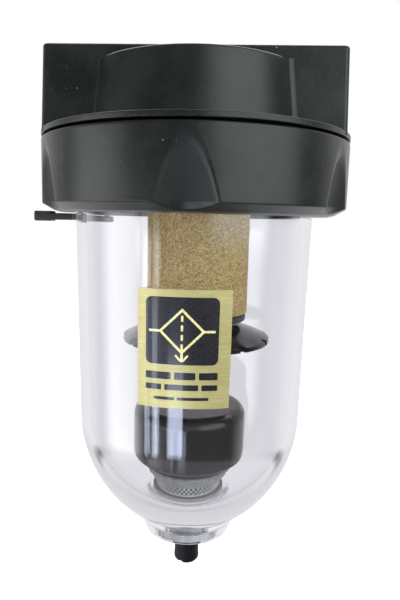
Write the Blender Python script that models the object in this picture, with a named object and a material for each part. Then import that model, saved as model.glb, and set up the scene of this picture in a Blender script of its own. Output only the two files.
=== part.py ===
"""Compressed-air filter with a float drain.

A die-cast head carries the air ports and hangs a sintered element in the
airstream. A screwed clamp ring holds a clear bowl up against the head, and the
bowl carries a float drain that empties the collected water through a spigot.

The scene is in metres, +Z up. The origin is the centre of the head's flat top
face. +X points to the outlet port, -X to the inlet port and -Y to the labelled
front. Sizes below are in millimetres; profiles are (radius, height) points.
"""

import math

import bmesh
import bpy
import numpy as np

MILLIMETRE = 0.001

# Heights are from a datum TOP_Z under the block's top face; finish() moves
# everything down so that the top is at 0. Pairs of sizes run from top to foot.
TOP_Z = 0.7
RING_R = 45.0                 # clamp ring and head flange
BLOCK_HALF_X = (40.2, 40.7)
BLOCK_HALF_Y = (19.6, 20.8)
BLOCK_FOOT_Z = -21.75         # buried in the flange
BLOCK_CORNER = 1.3
BLOCK_RIM = 0.9
BOSS_TOP_Z = -2.85
BOSS_R = (31.6, 33.7)         # front and rear boss
FLANGE_Z = (-20.7, -22.2)

PORT_Z = -11.1
PORT_R = 7.35                 # 3/8 in pipe thread, minor size
PORT_FACE_X = 41.2            # raised pads faced flat round the ports
PORT_FACE_R = 9.9
PAD_ROOT_X = 36.0
MOUTH_X = (39.4, 42.4)        # coned mouths, from inside to outside
MOUTH_R = (6.2, 9.2)
BORE_OPEN_X = 50.0            # the bore cutters' outer ends, clear of the head
OUTLET_BORE_END_X = -6.0
OUTLET_DROP_R = 8.8
OUTLET_DROP_Z = (PORT_Z - 1.7, -21.6)
INLET_BORE_END_X = -18.4
INLET_DROP_R = 5.5
INLET_DROP_X = -25.5
INLET_DROP_Z = (PORT_Z + 1.3, -25.7)

THREAD_PITCH = 4.0
THREAD_TURNS = 2
THREAD_START_Z = -33.9        # lower end of the skirt's thread
SKIRT_MINOR_R = 40.6
SKIRT_MAJOR_R = 41.8
SKIRT_IN_R = 36.8
SKIRT_END_Z = -36.0
CEILING_Z = -24.5
HUB_R = 12.0
HUB_Z = -27.0
HUB_CUT_Z = (-20.0, -28.0)
FLOW_HOLES = 3
FLOW_HOLE_R = 2.4
FLOW_HOLE_CIRCLE_R = 6.1
STUD_HOLE_R = 2.6

RING_TOP_Z = -22.8
RING_LIP_Z = -43.1
LIP_IN_R = 36.2
RING_THREAD_EXTRA_TURNS = 1.5
RING_THREAD_EARLY_STEPS = 2.5     # the groove starts this far before the ridge
FLUTES = 6
FLUTE_CUTTER_R = 16.0
FLUTE_CUTTER_Z = (-52.0, -17.0)
FLUTE_DEPTH = 2.77            # at the lip, running out near the top
FLUTE_TOP_Z = -26.8

LEVER_R = (37.0, 42.9)        # inner and outer edge
LEVER_Z = (-45.5, -43.5)
PIVOT_R = 39.9
PIVOT_ANGLE = 150.0
LEVER_HOLE_R = 1.65
LEVER_HOLE_Z = (-44.0, -41.2)
SCREW_FOOT_Z = -45.6

BOWL_TOP_Z = -26.6
BOWL_R = (35.6, 34.6)         # outside, at the ring's lip and where the dome starts
BOWL_WALL = 3.0
SEAL_GROOVE_Z = (-29.4, -32.4)
SEAL_CENTRE_R = 35.5
SEAL_WIRE_R = 1.1
DOME_Z = -105.7
DOME_DEPTH = 37.0
DOME_FLOOR = 5.5              # how much shallower the dome is inside
DOME_POWER = 1.08
DOME_END_R = 15.8
BOWL_END_Z = -145.2
WELL_R = 12.7
WELL_FLOOR_Z = -136.1
SPIGOT_HOLE_R = 5.6
RECESS_R = 8.9                # for the drain nut
RECESS_Z = -141.9

LABEL_Z = (-61.8, -92.6)
LABEL_ANGLE = -90.5           # middle of the label, degrees
LABEL_HALF_ANGLE = 20.6
LABEL_GAPS = (0.12, 0.36)     # back and front face, out from the bowl
LABEL_COLUMNS = 14

ELEMENT_R = (10.2, 15.7)
ELEMENT_Z = (-29.5, -72.5)
VANES = 12
VANE_R = (17.6, 31.2)
VANE_MID_Z = -30.2
VANE_HALF_CHORD = 4.6
VANE_HALF_THICKNESS = 0.55
VANE_SLANT = math.radians(40)
BAFFLE_R = 22.9
NOTCHES = 12
NOTCH_LOW = (21.6, -1.1, -84.0)
NOTCH_HIGH = (24.0, 1.1, -78.0)
NUT_R = 4.7                   # to the hexagon's corners
NUT_Z = (-86.4, -82.9)
NUT_HOLE_R = 2.62
NUT_HOLE_Z = (-88.0, -81.0)

FLOAT_R = 17.9
FLOAT_Z = (-102.6, -122.5)
FLOAT_CORNER_R = 3.2
WATER_INLETS = 4
WATER_INLET_R = 0.9
WATER_INLET_SPAN = (3.0, 9.9)     # radii the cutters run between
WATER_INLET_Z = -129.3
SPRING_Z = (-129.0, -127.0)
SPRING_R = 4.4
SPRING_TURNS = 3.0
SPRING_WIRE = (0.3, 0.24)     # half width and half height of the wire
STEM_R = 4.0
STEM_END_Z = -158.2

# Sides of the turned pieces and steps in a turn of each helix
BIG_SIDES = 48
BOWL_SIDES = 36
STACK_SIDES = 30
MID_SIDES = 24
SCREW_SIDES = 20
SMALL_SIDES = 16
OUTLET_DROP_SIDES = 26
INLET_DROP_SIDES = 22
WATER_INLET_SIDES = 12
SEAL_POINTS = 6
THREAD_STEPS = 32
SPRING_STEPS = 14
SPRING_WIRE_POINTS = 4


# ---------------------------------------------------------------- materials

for old in list(bpy.data.objects):
    bpy.data.objects.remove(old, do_unlink=True)


def material(name, colour, roughness, metallic=0.0, alpha=1.0, transmission=0.0):
    made = bpy.data.materials.new(name)
    made.use_nodes = True
    inputs = made.node_tree.nodes["Principled BSDF"].inputs
    inputs["Base Color"].default_value = (*colour, 1.0)
    inputs["Metallic"].default_value = metallic
    inputs["Roughness"].default_value = roughness
    inputs["Alpha"].default_value = alpha
    inputs["Transmission Weight"].default_value = transmission
    made.diffuse_color = (*colour, alpha)
    return made


BLACK_PAINT = material("black_paint", colour=(0.028, 0.031, 0.031), roughness=0.42)
CLEAR = material("clear_polycarbonate", colour=(0.92, 0.94, 0.95), roughness=0.05,
                 alpha=0.35, transmission=0.9)
BRONZE = material("sintered_bronze", colour=(0.46, 0.35, 0.17), roughness=0.75, metallic=0.4)
RUBBER = material("black_rubber", colour=(0.02, 0.02, 0.02), roughness=0.7)
BLACK_PLASTIC = material("black_plastic", colour=(0.022, 0.023, 0.025), roughness=0.3)
GREY_PLASTIC = material("grey_plastic", colour=(0.55, 0.56, 0.57), roughness=0.45)
STEEL = material("zinc_steel", colour=(0.62, 0.62, 0.60), roughness=0.32, metallic=1.0)
BRASS = material("brass", colour=(0.72, 0.55, 0.25), roughness=0.3, metallic=1.0)
GOLD_FOIL = material("gold_foil", colour=(0.66, 0.56, 0.26), roughness=0.35, metallic=0.9)


# ---------------------------------------------------------------- helpers

def finish(name, mesh, paint, origin=(0.0, 0.0, 0.0), sharp=32.0):
    """The named object of a bmesh built in millimetres, its origin at a pivot."""
    bmesh.ops.remove_doubles(mesh, verts=mesh.verts, dist=2e-4)
    bmesh.ops.dissolve_degenerate(mesh, dist=2e-4, edges=mesh.edges)
    bmesh.ops.recalc_face_normals(mesh, faces=mesh.faces)
    for vert in mesh.verts:
        vert.co = [(vert.co[i] - origin[i]) * MILLIMETRE for i in range(3)]
    data = bpy.data.meshes.new(name)
    mesh.to_mesh(data)
    mesh.free()
    obj = bpy.data.objects.new(name, data)
    bpy.context.scene.collection.objects.link(obj)
    x, y, z = origin
    obj.location = (x * MILLIMETRE, y * MILLIMETRE, (z - TOP_Z) * MILLIMETRE)
    data.materials.append(paint)
    data.shade_smooth()
    data.set_sharp_from_angle(angle=math.radians(sharp))
    return obj


def helper(name, mesh):
    """A cutter or a joining solid: hidden in renders and drawn as wire."""
    obj = finish(name, mesh, BLACK_PLASTIC)
    obj.hide_render = True
    obj.display_type = "WIRE"
    return obj


def boolean(obj, name, mesh, operation, solver="EXACT"):
    """Makes a helper of the mesh and applies it to obj through a modifier."""
    other = helper(name, mesh)
    modifier = obj.modifiers.new(name, "BOOLEAN")
    modifier.operation = operation
    modifier.solver = solver
    modifier.object = other


def cut(obj, name, mesh, solver="EXACT"):
    boolean(obj, name, mesh, "DIFFERENCE", solver)


def add(obj, name, mesh):
    boolean(obj, name, mesh, "UNION")


def polar(radius, degrees, z=0.0):
    angle = math.radians(degrees)
    return (radius * math.cos(angle), radius * math.sin(angle), z)


def spaced(count, first=0.0):
    """Equally spaced angles round a full turn, in degrees."""
    return [first + 360 * i / count for i in range(count)]


def spun(mesh, profile, steps, centre=(0.0, 0.0)):
    """Spins a profile of (radius, height) points about a vertical axis.

    A profile that starts and ends on the axis stays open there; any other is
    a closed loop."""
    verts = [mesh.verts.new((centre[0] + radius, centre[1], z)) for radius, z in profile]
    edges = [mesh.edges.new(pair) for pair in zip(verts, verts[1:])]
    if not (profile[0][0] < 1e-9 and profile[-1][0] < 1e-9):
        edges.append(mesh.edges.new((verts[-1], verts[0])))
    bmesh.ops.spin(mesh, geom=verts + edges, cent=(*centre, 0.0), axis=(0, 0, 1),
                   dvec=(0, 0, 0), angle=2 * math.pi, steps=steps, use_merge=False)
    bmesh.ops.remove_doubles(mesh, verts=mesh.verts, dist=2e-4)


def turned(name, profile, paint, steps=MID_SIDES, origin=(0.0, 0.0, 0.0), centre=(0.0, 0.0)):
    mesh = bmesh.new()
    spun(mesh, profile, steps, centre)
    return finish(name, mesh, paint, origin)


def tube(r_in, r_out, z_low, z_high):
    """The profile of a plain ring."""
    return [(r_in, z_high), (r_out, z_high), (r_out, z_low), (r_in, z_low)]


def oval(centre_r, centre_z, half_width, half_height, count):
    """The (radius, height) points of a round or oval section."""
    return [(centre_r + half_width * math.cos(angle), centre_z + half_height * math.sin(angle))
            for angle in map(math.radians, spaced(count))]


def sweep(mesh, loops):
    """Walls between successive loops of vertices, closed at both ends."""
    count = len(loops[0])
    for low, high in zip(loops, loops[1:]):
        for i in range(count):
            j = (i + 1) % count
            mesh.faces.new((low[i], low[j], high[j], high[i]))
    mesh.faces.new(loops[0][::-1])
    mesh.faces.new(loops[-1])


def cylinder(mesh, radius, start, end, steps, radius_end=None):
    """A closed cylinder or cone between two points."""
    start, end = np.array(start, float), np.array(end, float)
    along = (end - start) / float(np.linalg.norm(end - start))
    side = np.cross(along, (0.0, 1.0, 0.0) if abs(along[1]) < 0.9 else (1.0, 0.0, 0.0))
    side /= np.linalg.norm(side)
    across = np.cross(along, side)
    radius_end = radius if radius_end is None else radius_end
    angles = [2 * math.pi * i / steps for i in range(steps)]
    sweep(mesh, [[mesh.verts.new(point + size * (math.cos(angle) * side
                                                 + math.sin(angle) * across))
                  for angle in angles]
                 for point, size in ((start, radius), (end, radius_end))])


def rod(radius, start, end, steps):
    """A new mesh that holds one cylinder."""
    mesh = bmesh.new()
    cylinder(mesh, radius, start, end, steps)
    return mesh


def helix(section, pitch, start_z, turns, steps, lead=0.0):
    """A new mesh: a section of (radius, height offset) points swept up a helix."""
    mesh = bmesh.new()
    loops = []
    for i in range(int(round(turns * steps)) + 1):
        angle = 2 * math.pi * i / steps + lead
        z = start_z + pitch * i / steps
        loops.append([mesh.verts.new((radius * math.cos(angle), radius * math.sin(angle), z + dz))
                      for radius, dz in section])
    sweep(mesh, loops)
    return mesh


def box(mesh, low, high):
    verts = bmesh.ops.create_cube(mesh, size=1.0)["verts"]
    for vert in verts:
        vert.co = [low[i] + (high[i] - low[i]) * (vert.co[i] + 0.5) for i in range(3)]
    return verts


def edges_by_rise(mesh, upright):
    """The upright edges of a mesh, or its level ones."""
    return [edge for edge in mesh.edges
            if (abs(edge.verts[0].co.z - edge.verts[1].co.z) > 1) == upright]


def bevel(mesh, edges, offset, segments=1):
    bmesh.ops.bevel(mesh, geom=edges, offset=offset, segments=segments, profile=0.5,
                    affect="EDGES")


# ---------------------------------------------------------------- head

def block_mesh():
    """The tapered block between the ports, its corners and top rim rounded."""
    mesh = bmesh.new()
    for vert in box(mesh, (-1, -1, BLOCK_FOOT_Z), (1, 1, TOP_Z)):
        level = 0 if vert.co.z > 0 else 1
        vert.co.x *= BLOCK_HALF_X[level]
        vert.co.y *= BLOCK_HALF_Y[level]
    bevel(mesh, edges_by_rise(mesh, upright=True), BLOCK_CORNER, segments=3)
    rim = [edge for edge in mesh.edges if min(vert.co.z for vert in edge.verts) > 0]
    bevel(mesh, rim, BLOCK_RIM, segments=2)
    return mesh


def port_cones(x_in, x_out, r_in, r_out, steps):
    """A cylinder or cone on each port's axis."""
    mesh = bmesh.new()
    for side in (-1, 1):
        cylinder(mesh, r_in, (side * x_in, 0, PORT_Z), (side * x_out, 0, PORT_Z), steps, r_out)
    return mesh


def make_head():
    profile = [
        (0.0, BOSS_TOP_Z), (BOSS_R[0] - 0.7, BOSS_TOP_Z), (BOSS_R[0], BOSS_TOP_Z - 0.7),
        (BOSS_R[1], FLANGE_Z[0]), (RING_R - 0.4, FLANGE_Z[0]), (RING_R, FLANGE_Z[0] - 0.4),
        (RING_R, FLANGE_Z[1]), (SKIRT_MINOR_R, FLANGE_Z[1]),
        (SKIRT_MINOR_R, SKIRT_END_Z + 0.6), (SKIRT_MINOR_R - 0.6, SKIRT_END_Z),
        (SKIRT_IN_R, SKIRT_END_Z), (SKIRT_IN_R, CEILING_Z),
        (HUB_R, CEILING_Z), (HUB_R, HUB_Z), (0.0, HUB_Z)]
    head = turned("head", profile, BLACK_PAINT, BIG_SIDES)
    add(head, "head_block", block_mesh())
    ridge = [(SKIRT_MINOR_R - 0.5, -1.25), (SKIRT_MAJOR_R, -0.55),
             (SKIRT_MAJOR_R, 0.55), (SKIRT_MINOR_R - 0.5, 1.25)]
    add(head, "skirt_thread",
        helix(ridge, THREAD_PITCH, THREAD_START_Z, THREAD_TURNS, THREAD_STEPS))
    add(head, "port_pads",
        port_cones(PAD_ROOT_X, PORT_FACE_X, PORT_FACE_R, PORT_FACE_R, MID_SIDES))

    # Each port's bore and its drop: outlet to the element, inlet to the bowl
    cut(head, "outlet_bore", rod(PORT_R, (OUTLET_BORE_END_X, 0, PORT_Z),
                                 (BORE_OPEN_X, 0, PORT_Z), SMALL_SIDES))
    cut(head, "outlet_drop", rod(OUTLET_DROP_R, (0, 0, OUTLET_DROP_Z[0]),
                                 (0, 0, OUTLET_DROP_Z[1]), OUTLET_DROP_SIDES))
    cut(head, "inlet_bore", rod(PORT_R, (-BORE_OPEN_X, 0, PORT_Z),
                                (INLET_BORE_END_X, 0, PORT_Z), SMALL_SIDES))
    cut(head, "inlet_drop", rod(INLET_DROP_R, (INLET_DROP_X, 0, INLET_DROP_Z[0]),
                                (INLET_DROP_X, 0, INLET_DROP_Z[1]), INLET_DROP_SIDES))
    cut(head, "port_mouths", port_cones(*MOUTH_X, *MOUTH_R, SMALL_SIDES))

    holes = bmesh.new()      # flow holes round the stud's hole, through the hub
    top, low = HUB_CUT_Z
    for angle in spaced(FLOW_HOLES, 90):
        cylinder(holes, FLOW_HOLE_R, polar(FLOW_HOLE_CIRCLE_R, angle, top),
                 polar(FLOW_HOLE_CIRCLE_R, angle, low), SMALL_SIDES)
    cylinder(holes, STUD_HOLE_R, (0, 0, top), (0, 0, low), SMALL_SIDES)
    cut(head, "hub_holes", holes, "MANIFOLD")


# ---------------------------------------------------------------- clamp ring

def flute_axis(angle, z):
    """A point on a flute cutter's axis, which leans inward towards the lip."""
    slope = FLUTE_DEPTH / (FLUTE_TOP_Z - RING_LIP_Z)
    return polar(RING_R + FLUTE_CUTTER_R + slope * (z - FLUTE_TOP_Z), angle, z)


def make_clamp_ring():
    profile = [
        (41.4, RING_TOP_Z), (RING_R - 0.6, RING_TOP_Z), (RING_R, RING_TOP_Z - 0.6),
        (RING_R, RING_LIP_Z + 2.3), (RING_R - 3.4, RING_LIP_Z + 0.4),
        (RING_R - 5.0, RING_LIP_Z), (LIP_IN_R, RING_LIP_Z),
        (LIP_IN_R, -40.4), (39.4, -40.4), (39.4, -36.4), (40.9, -36.4),
        (40.9, RING_TOP_Z - 0.5)]
    clamp_ring = turned("clamp_ring", profile, BLACK_PAINT, BIG_SIDES)
    groove = [(40.4, -1.65), (42.1, -0.85), (42.1, 0.85), (40.4, 1.65)]
    early = RING_THREAD_EARLY_STEPS / THREAD_STEPS      # share of a turn
    cut(clamp_ring, "ring_thread",
        helix(groove, THREAD_PITCH, THREAD_START_Z - early * THREAD_PITCH,
              THREAD_TURNS + RING_THREAD_EXTRA_TURNS, THREAD_STEPS, -2 * math.pi * early))
    flutes = bmesh.new()
    for angle in spaced(FLUTES, -90):
        cylinder(flutes, FLUTE_CUTTER_R, *[flute_axis(angle, z) for z in FLUTE_CUTTER_Z],
                 BIG_SIDES)
    cut(clamp_ring, "flutes", flutes)
    cut(clamp_ring, "lever_hole",
        rod(LEVER_HOLE_R, *[polar(PIVOT_R, PIVOT_ANGLE, z) for z in LEVER_HOLE_Z], SMALL_SIDES))


# ---------------------------------------------------------------- lock lever

def lever_outline():
    """The lever seen from above, as (x, y, z) points."""
    # Outer edge, from the pivot end to the tab
    outline = [polar(LEVER_R[1], PIVOT_ANGLE + 31.0 * i / 12) for i in range(13)]
    # Tab, x and y
    outline += [(x, y, 0.0) for x, y in
                ((-47.7, -0.4), (-48.1, -0.9), (-48.1, -5.6), (-47.7, -6.0))]
    # Inner edge back, clear of the bowl
    outline += [polar(LEVER_R[0], 188.6 - 38.6 * i / 12) for i in range(13)]
    # Rounded end about the pivot
    pivot_x, pivot_y, _ = polar(PIVOT_R, PIVOT_ANGLE)
    for i in range(1, 8):
        x, y, _ = polar((LEVER_R[1] - LEVER_R[0]) / 2, PIVOT_ANGLE - 180 + 180 * i / 8)
        outline.append((pivot_x + x, pivot_y + y, 0.0))
    return outline


def make_lock_lever():
    mesh = bmesh.new()
    face = mesh.faces.new([mesh.verts.new((x, y, LEVER_Z[0])) for x, y, _ in lever_outline()])
    extruded = bmesh.ops.extrude_face_region(mesh, geom=[face])["geom"]
    for item in extruded:
        if isinstance(item, bmesh.types.BMVert):
            item.co.z = LEVER_Z[1]
    lever = finish("lock_lever", mesh, BLACK_PLASTIC, polar(PIVOT_R, PIVOT_ANGLE, LEVER_Z[1]))

    tab = bmesh.new()        # the tab's thicker end, under the ring's edge
    box(tab, (-48.09, -5.7, -45.9), (-42.9, -0.7, -42.9))
    bevel(tab, edges_by_rise(tab, upright=False), 0.4)
    add(lever, "lever_tab", tab)

    pivot = polar(PIVOT_R, PIVOT_ANGLE)[:2]
    eye = bmesh.new()        # countersunk hole for the screw
    spun(eye, [(0.0, -43.0), (1.75, -43.0), (1.75, -44.4), (2.65, -45.55), (2.65, -46.4),
               (0.0, -46.4)], SCREW_SIDES, pivot)
    cut(lever, "lever_eye", eye)
    screw_profile = [
        (0.0, -41.5), (1.1, -41.5), (1.45, -41.9), (1.45, -44.5), (2.25, -45.4),
        (2.25, SCREW_FOOT_Z), (0.0, SCREW_FOOT_Z)]
    turned("lever_screw", screw_profile, STEEL, SCREW_SIDES, (*pivot, SCREW_FOOT_Z), pivot)


# ---------------------------------------------------------------- bowl

def dome(radius, depth, end_r, steps):
    """Points down a dome from below its widest circle to the radius end_r."""
    last = math.acos(end_r / radius)
    return [(radius * math.cos(last * i / steps),
             DOME_Z - depth * math.sin(last * i / steps) ** DOME_POWER)
            for i in range(1, steps + 1)]


def make_bowl():
    groove_top, groove_low = SEAL_GROOVE_Z
    outer = [
        (36.2, BOWL_TOP_Z), (36.2, groove_top), (34.3, groove_top), (34.3, groove_low),
        (36.2, groove_low), (36.2, -36.5), (38.9, -36.5), (38.9, -40.0), (35.75, -40.0),
        (BOWL_R[0], RING_LIP_Z), (BOWL_R[1], DOME_Z)]
    outer += dome(BOWL_R[1], DOME_DEPTH, DOME_END_R, 6)
    outer += [(15.2, -140.8), (13.9, BOWL_END_Z + 0.7), (12.9, BOWL_END_Z)]
    inside_r = BOWL_R[1] - BOWL_WALL
    inner = [(RECESS_R, BOWL_END_Z), (RECESS_R, RECESS_Z), (SPIGOT_HOLE_R, RECESS_Z),
             (SPIGOT_HOLE_R, WELL_FLOOR_Z), (WELL_R, WELL_FLOOR_Z)]
    inner += dome(inside_r, DOME_DEPTH - DOME_FLOOR, WELL_R, 5)[::-1]
    inner += [(inside_r, DOME_Z), (BOWL_R[0] - BOWL_WALL, RING_LIP_Z), (32.7, BOWL_TOP_Z)]
    turned("bowl", outer + inner, CLEAR, BOWL_SIDES)
    turned("bowl_seal", oval(SEAL_CENTRE_R, sum(SEAL_GROOVE_Z) / 2, SEAL_WIRE_R, SEAL_WIRE_R,
                             SEAL_POINTS), RUBBER, BOWL_SIDES)


def make_label():
    """Curved label that follows the bowl's taper at the front."""
    mesh = bmesh.new()
    rows = []
    for gap in LABEL_GAPS:
        for z in LABEL_Z:
            share = (z - RING_LIP_Z) / (DOME_Z - RING_LIP_Z)
            radius = BOWL_R[0] + (BOWL_R[1] - BOWL_R[0]) * share + gap
            rows.append([mesh.verts.new(polar(
                radius, LABEL_ANGLE + LABEL_HALF_ANGLE * (2 * i / LABEL_COLUMNS - 1), z))
                for i in range(LABEL_COLUMNS + 1)])
    back_top, back_low, front_top, front_low = rows
    around = (front_top, front_low, back_low, back_top)
    for first, second in zip(around, around[1:] + around[:1]):
        for i in range(LABEL_COLUMNS):
            mesh.faces.new((first[i], second[i], second[i + 1], first[i + 1]))
    for i in (0, LABEL_COLUMNS):
        mesh.faces.new((back_top[i], back_low[i], front_low[i], front_top[i]))
    finish("label", mesh, GOLD_FOIL)


# ---------------------------------------------------------------- element stack

def make_deflector():
    """A sleeve with slanted vanes that set the air spinning."""
    deflector = turned("deflector", tube(17.0, 18.3, -35.0, -24.8), GREY_PLASTIC, STACK_SIDES)
    mesh = bmesh.new()
    up = np.array((0.0, 0.0, 1.0))
    for degrees in spaced(VANES, 15):
        radial = np.array(polar(1.0, degrees))
        across = np.array(polar(1.0, degrees + 90))
        along = across * math.cos(VANE_SLANT) + up * math.sin(VANE_SLANT)
        normal = np.cross(radial, along)
        corners = [mesh.verts.new(radial * radius + along * chord + normal * depth
                                  + up * VANE_MID_Z)
                   for radius in VANE_R
                   for chord in (-VANE_HALF_CHORD, VANE_HALF_CHORD)
                   for depth in (-VANE_HALF_THICKNESS, VANE_HALF_THICKNESS)]
        for quad in ((0, 1, 3, 2), (4, 6, 7, 5), (0, 4, 5, 1),
                     (2, 3, 7, 6), (0, 2, 6, 4), (1, 5, 7, 3)):
            mesh.faces.new([corners[k] for k in quad])
    add(deflector, "vanes", mesh)


def make_baffle():
    profile = [
        (2.9, -75.2), (15.6, -75.2), (16.4, -76.0), (17.2, -77.6), (BAFFLE_R, -80.1),
        (BAFFLE_R, -81.5), (20.6, -81.5), (15.4, -79.2), (6.6, -79.2), (6.6, -82.6),
        (2.9, -82.6)]
    baffle = turned("baffle", profile, BLACK_PLASTIC, STACK_SIDES)
    notches = bmesh.new()
    for degrees in spaced(NOTCHES, 7):
        cos, sin, _ = polar(1.0, degrees)
        for vert in box(notches, NOTCH_LOW, NOTCH_HIGH):
            x, y, z = vert.co
            vert.co = (x * cos - y * sin, x * sin + y * cos, z)
    cut(baffle, "rim_notches", notches)


def make_stud_and_nut():
    """The stud, and the hex nut that holds the stack on it."""
    turned("element_stud", [(0.0, -18.9), (2.0, -18.9), (2.5, -19.5), (2.5, -87.6),
                            (2.0, -88.1), (0.0, -88.1)], STEEL, SMALL_SIDES)
    mesh = rod(NUT_R, (0, 0, NUT_Z[0]), (0, 0, NUT_Z[1]), 6)
    bevel(mesh, edges_by_rise(mesh, upright=False), 0.3)
    nut = finish("stack_nut", mesh, STEEL, sharp=25)
    cut(nut, "nut_thread",
        rod(NUT_HOLE_R, (0, 0, NUT_HOLE_Z[0]), (0, 0, NUT_HOLE_Z[1]), SMALL_SIDES))


# ---------------------------------------------------------------- float drain

def make_drain_body():
    profile = [
        (7.0, -123.5), (13.8, -123.5), (14.2, -124.0), (12.4, -127.9), (9.2, -128.0),
        (9.2, -132.7), (12.1, -132.7), (12.1, -134.2), (5.25, -134.2), (5.25, -144.0),
        (4.35, -144.0), (4.35, -133.8), (6.4, -133.8), (6.4, -130.4), (7.0, -130.4)]
    body = turned("drain_body", profile, GREY_PLASTIC)
    inlets = bmesh.new()     # water inlets behind the screen
    for angle in spaced(WATER_INLETS, 45):
        ends = [polar(radius, angle, WATER_INLET_Z) for radius in WATER_INLET_SPAN]
        cylinder(inlets, WATER_INLET_R, *ends, WATER_INLET_SIDES)
    cut(body, "water_inlets", inlets)


def make_pilot():
    """The float's guide tube, with the nozzle in its top."""
    turned("guide_tube", [
        (2.2, -107.4), (4.6, -107.4), (5.1, -107.9), (5.1, -121.2), (13.0, -122.9),
        (13.0, -123.2), (3.4, -123.2), (3.4, -112.2), (2.2, -112.2)],
        GREY_PLASTIC, SMALL_SIDES)
    turned("pilot_nozzle", [(0.7, -106.6), (1.3, -106.6), (1.9, -107.4), (1.9, -112.6),
                            (0.7, -112.6)], BRASS, SMALL_SIDES)


def make_float():
    """The float, and the rubber seat under its crown."""
    profile = [(0.0, FLOAT_Z[0])]
    for i in range(5):       # rounded top corner
        x, y, _ = polar(FLOAT_CORNER_R, 90 - 22.5 * i)
        profile.append((FLOAT_R - FLOAT_CORNER_R + x, FLOAT_Z[0] - FLOAT_CORNER_R + y))
    profile += [
        (FLOAT_R, -119.9), (14.9, -122.1), (14.2, FLOAT_Z[1]), (14.2, -122.3),
        (13.4, -122.1), (6.4, -120.0), (6.1, -119.4), (6.1, -104.6), (0.0, -104.6)]
    turned("float", profile, BLACK_PLASTIC)
    turned("pilot_seat", [(0.0, -104.9), (2.4, -104.9), (2.4, -106.0), (0.0, -106.0)],
           RUBBER, SMALL_SIDES)


def make_piston():
    """The piston, its seal and the return spring under it."""
    turned("piston", [
        (0.0, -124.2), (6.4, -124.2), (6.4, -124.9), (5.4, -124.9), (5.4, -125.9),
        (6.4, -125.9), (6.4, -126.6), (1.8, -126.6), (1.8, -134.0), (1.4, -134.6),
        (0.0, -134.6)], BLACK_PLASTIC, SMALL_SIDES)
    turned("piston_seal", oval(6.15, -125.4, 0.42, 0.38, SEAL_POINTS), RUBBER, SMALL_SIDES)
    spring = helix(oval(SPRING_R, 0.0, *SPRING_WIRE, SPRING_WIRE_POINTS),
                   (SPRING_Z[1] - SPRING_Z[0]) / SPRING_TURNS, SPRING_Z[0],
                   SPRING_TURNS, SPRING_STEPS)
    finish("piston_spring", spring, STEEL, sharp=80)


def make_drain_stem():
    turned("drain_stem", [
        (2.3, -132.4), (6.0, -132.4), (6.0, -133.5), (STEM_R, -133.5), (STEM_R, -155.4),
        (STEM_R + 0.15, -156.2), (STEM_R + 0.1, -157.2), (3.4, STEM_END_Z + 0.2),
        (2.9, STEM_END_Z), (1.4, STEM_END_Z), (1.4, -138.3), (2.3, -138.3)],
        BLACK_PLASTIC, SCREW_SIDES)


# Plain rings: name, (inner radius, outer radius, low z, high z), material, sides
PLAIN_RINGS = (
    ("upper_gasket", (9.4, 15.2, -29.1, -27.4), RUBBER, MID_SIDES),
    ("filter_element", (*ELEMENT_R, ELEMENT_Z[1], ELEMENT_Z[0]), BRONZE, STACK_SIDES),
    ("lower_gasket", (3.1, 15.3, -74.9, -72.8), RUBBER, MID_SIDES),
    ("drain_screen", (9.5, 10.9, -132.4, -128.3), GREY_PLASTIC, MID_SIDES),
    ("drain_gasket", (5.6, 12.1, -135.8, -134.5), GREY_PLASTIC, MID_SIDES),
    ("drain_nut", (5.45, 8.3, -144.3, -142.2), GREY_PLASTIC, SMALL_SIDES),
    ("spring_seat", (3.0, 6.7, -130.1, -129.4), STEEL, SMALL_SIDES),
)

make_head()
make_clamp_ring()
make_lock_lever()
make_bowl()
make_label()
make_deflector()
make_baffle()
make_stud_and_nut()
make_drain_body()
make_pilot()
make_float()
make_piston()
make_drain_stem()
for ring_name, sizes, paint, sides in PLAIN_RINGS:
    turned(ring_name, tube(*sizes), paint, sides)
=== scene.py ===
import math

import bmesh
import bpy
import numpy as np
from mathutils import Matrix, Vector


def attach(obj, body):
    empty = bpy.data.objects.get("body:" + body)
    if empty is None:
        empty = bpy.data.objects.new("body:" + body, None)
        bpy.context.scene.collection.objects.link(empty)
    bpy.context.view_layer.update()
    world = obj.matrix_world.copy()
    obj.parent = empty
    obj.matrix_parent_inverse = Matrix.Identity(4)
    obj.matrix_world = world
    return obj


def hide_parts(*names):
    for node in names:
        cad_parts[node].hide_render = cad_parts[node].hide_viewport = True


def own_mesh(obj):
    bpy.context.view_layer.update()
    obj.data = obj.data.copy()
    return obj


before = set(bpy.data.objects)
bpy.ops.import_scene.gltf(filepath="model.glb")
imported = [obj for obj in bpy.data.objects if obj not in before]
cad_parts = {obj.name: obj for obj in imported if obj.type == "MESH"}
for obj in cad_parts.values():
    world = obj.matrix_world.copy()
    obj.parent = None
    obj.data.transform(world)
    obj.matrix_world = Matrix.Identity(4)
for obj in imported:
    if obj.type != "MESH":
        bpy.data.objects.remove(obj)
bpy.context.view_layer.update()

MM = 0.001
TAU = 2 * math.pi
TOP_Z = 0.7            # heights below are from a datum this far under the block's top face
STACK = (1.5, 0.0)     # the element and all on its stud hang a little to +X


# ================================================================ mesh helpers

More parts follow.
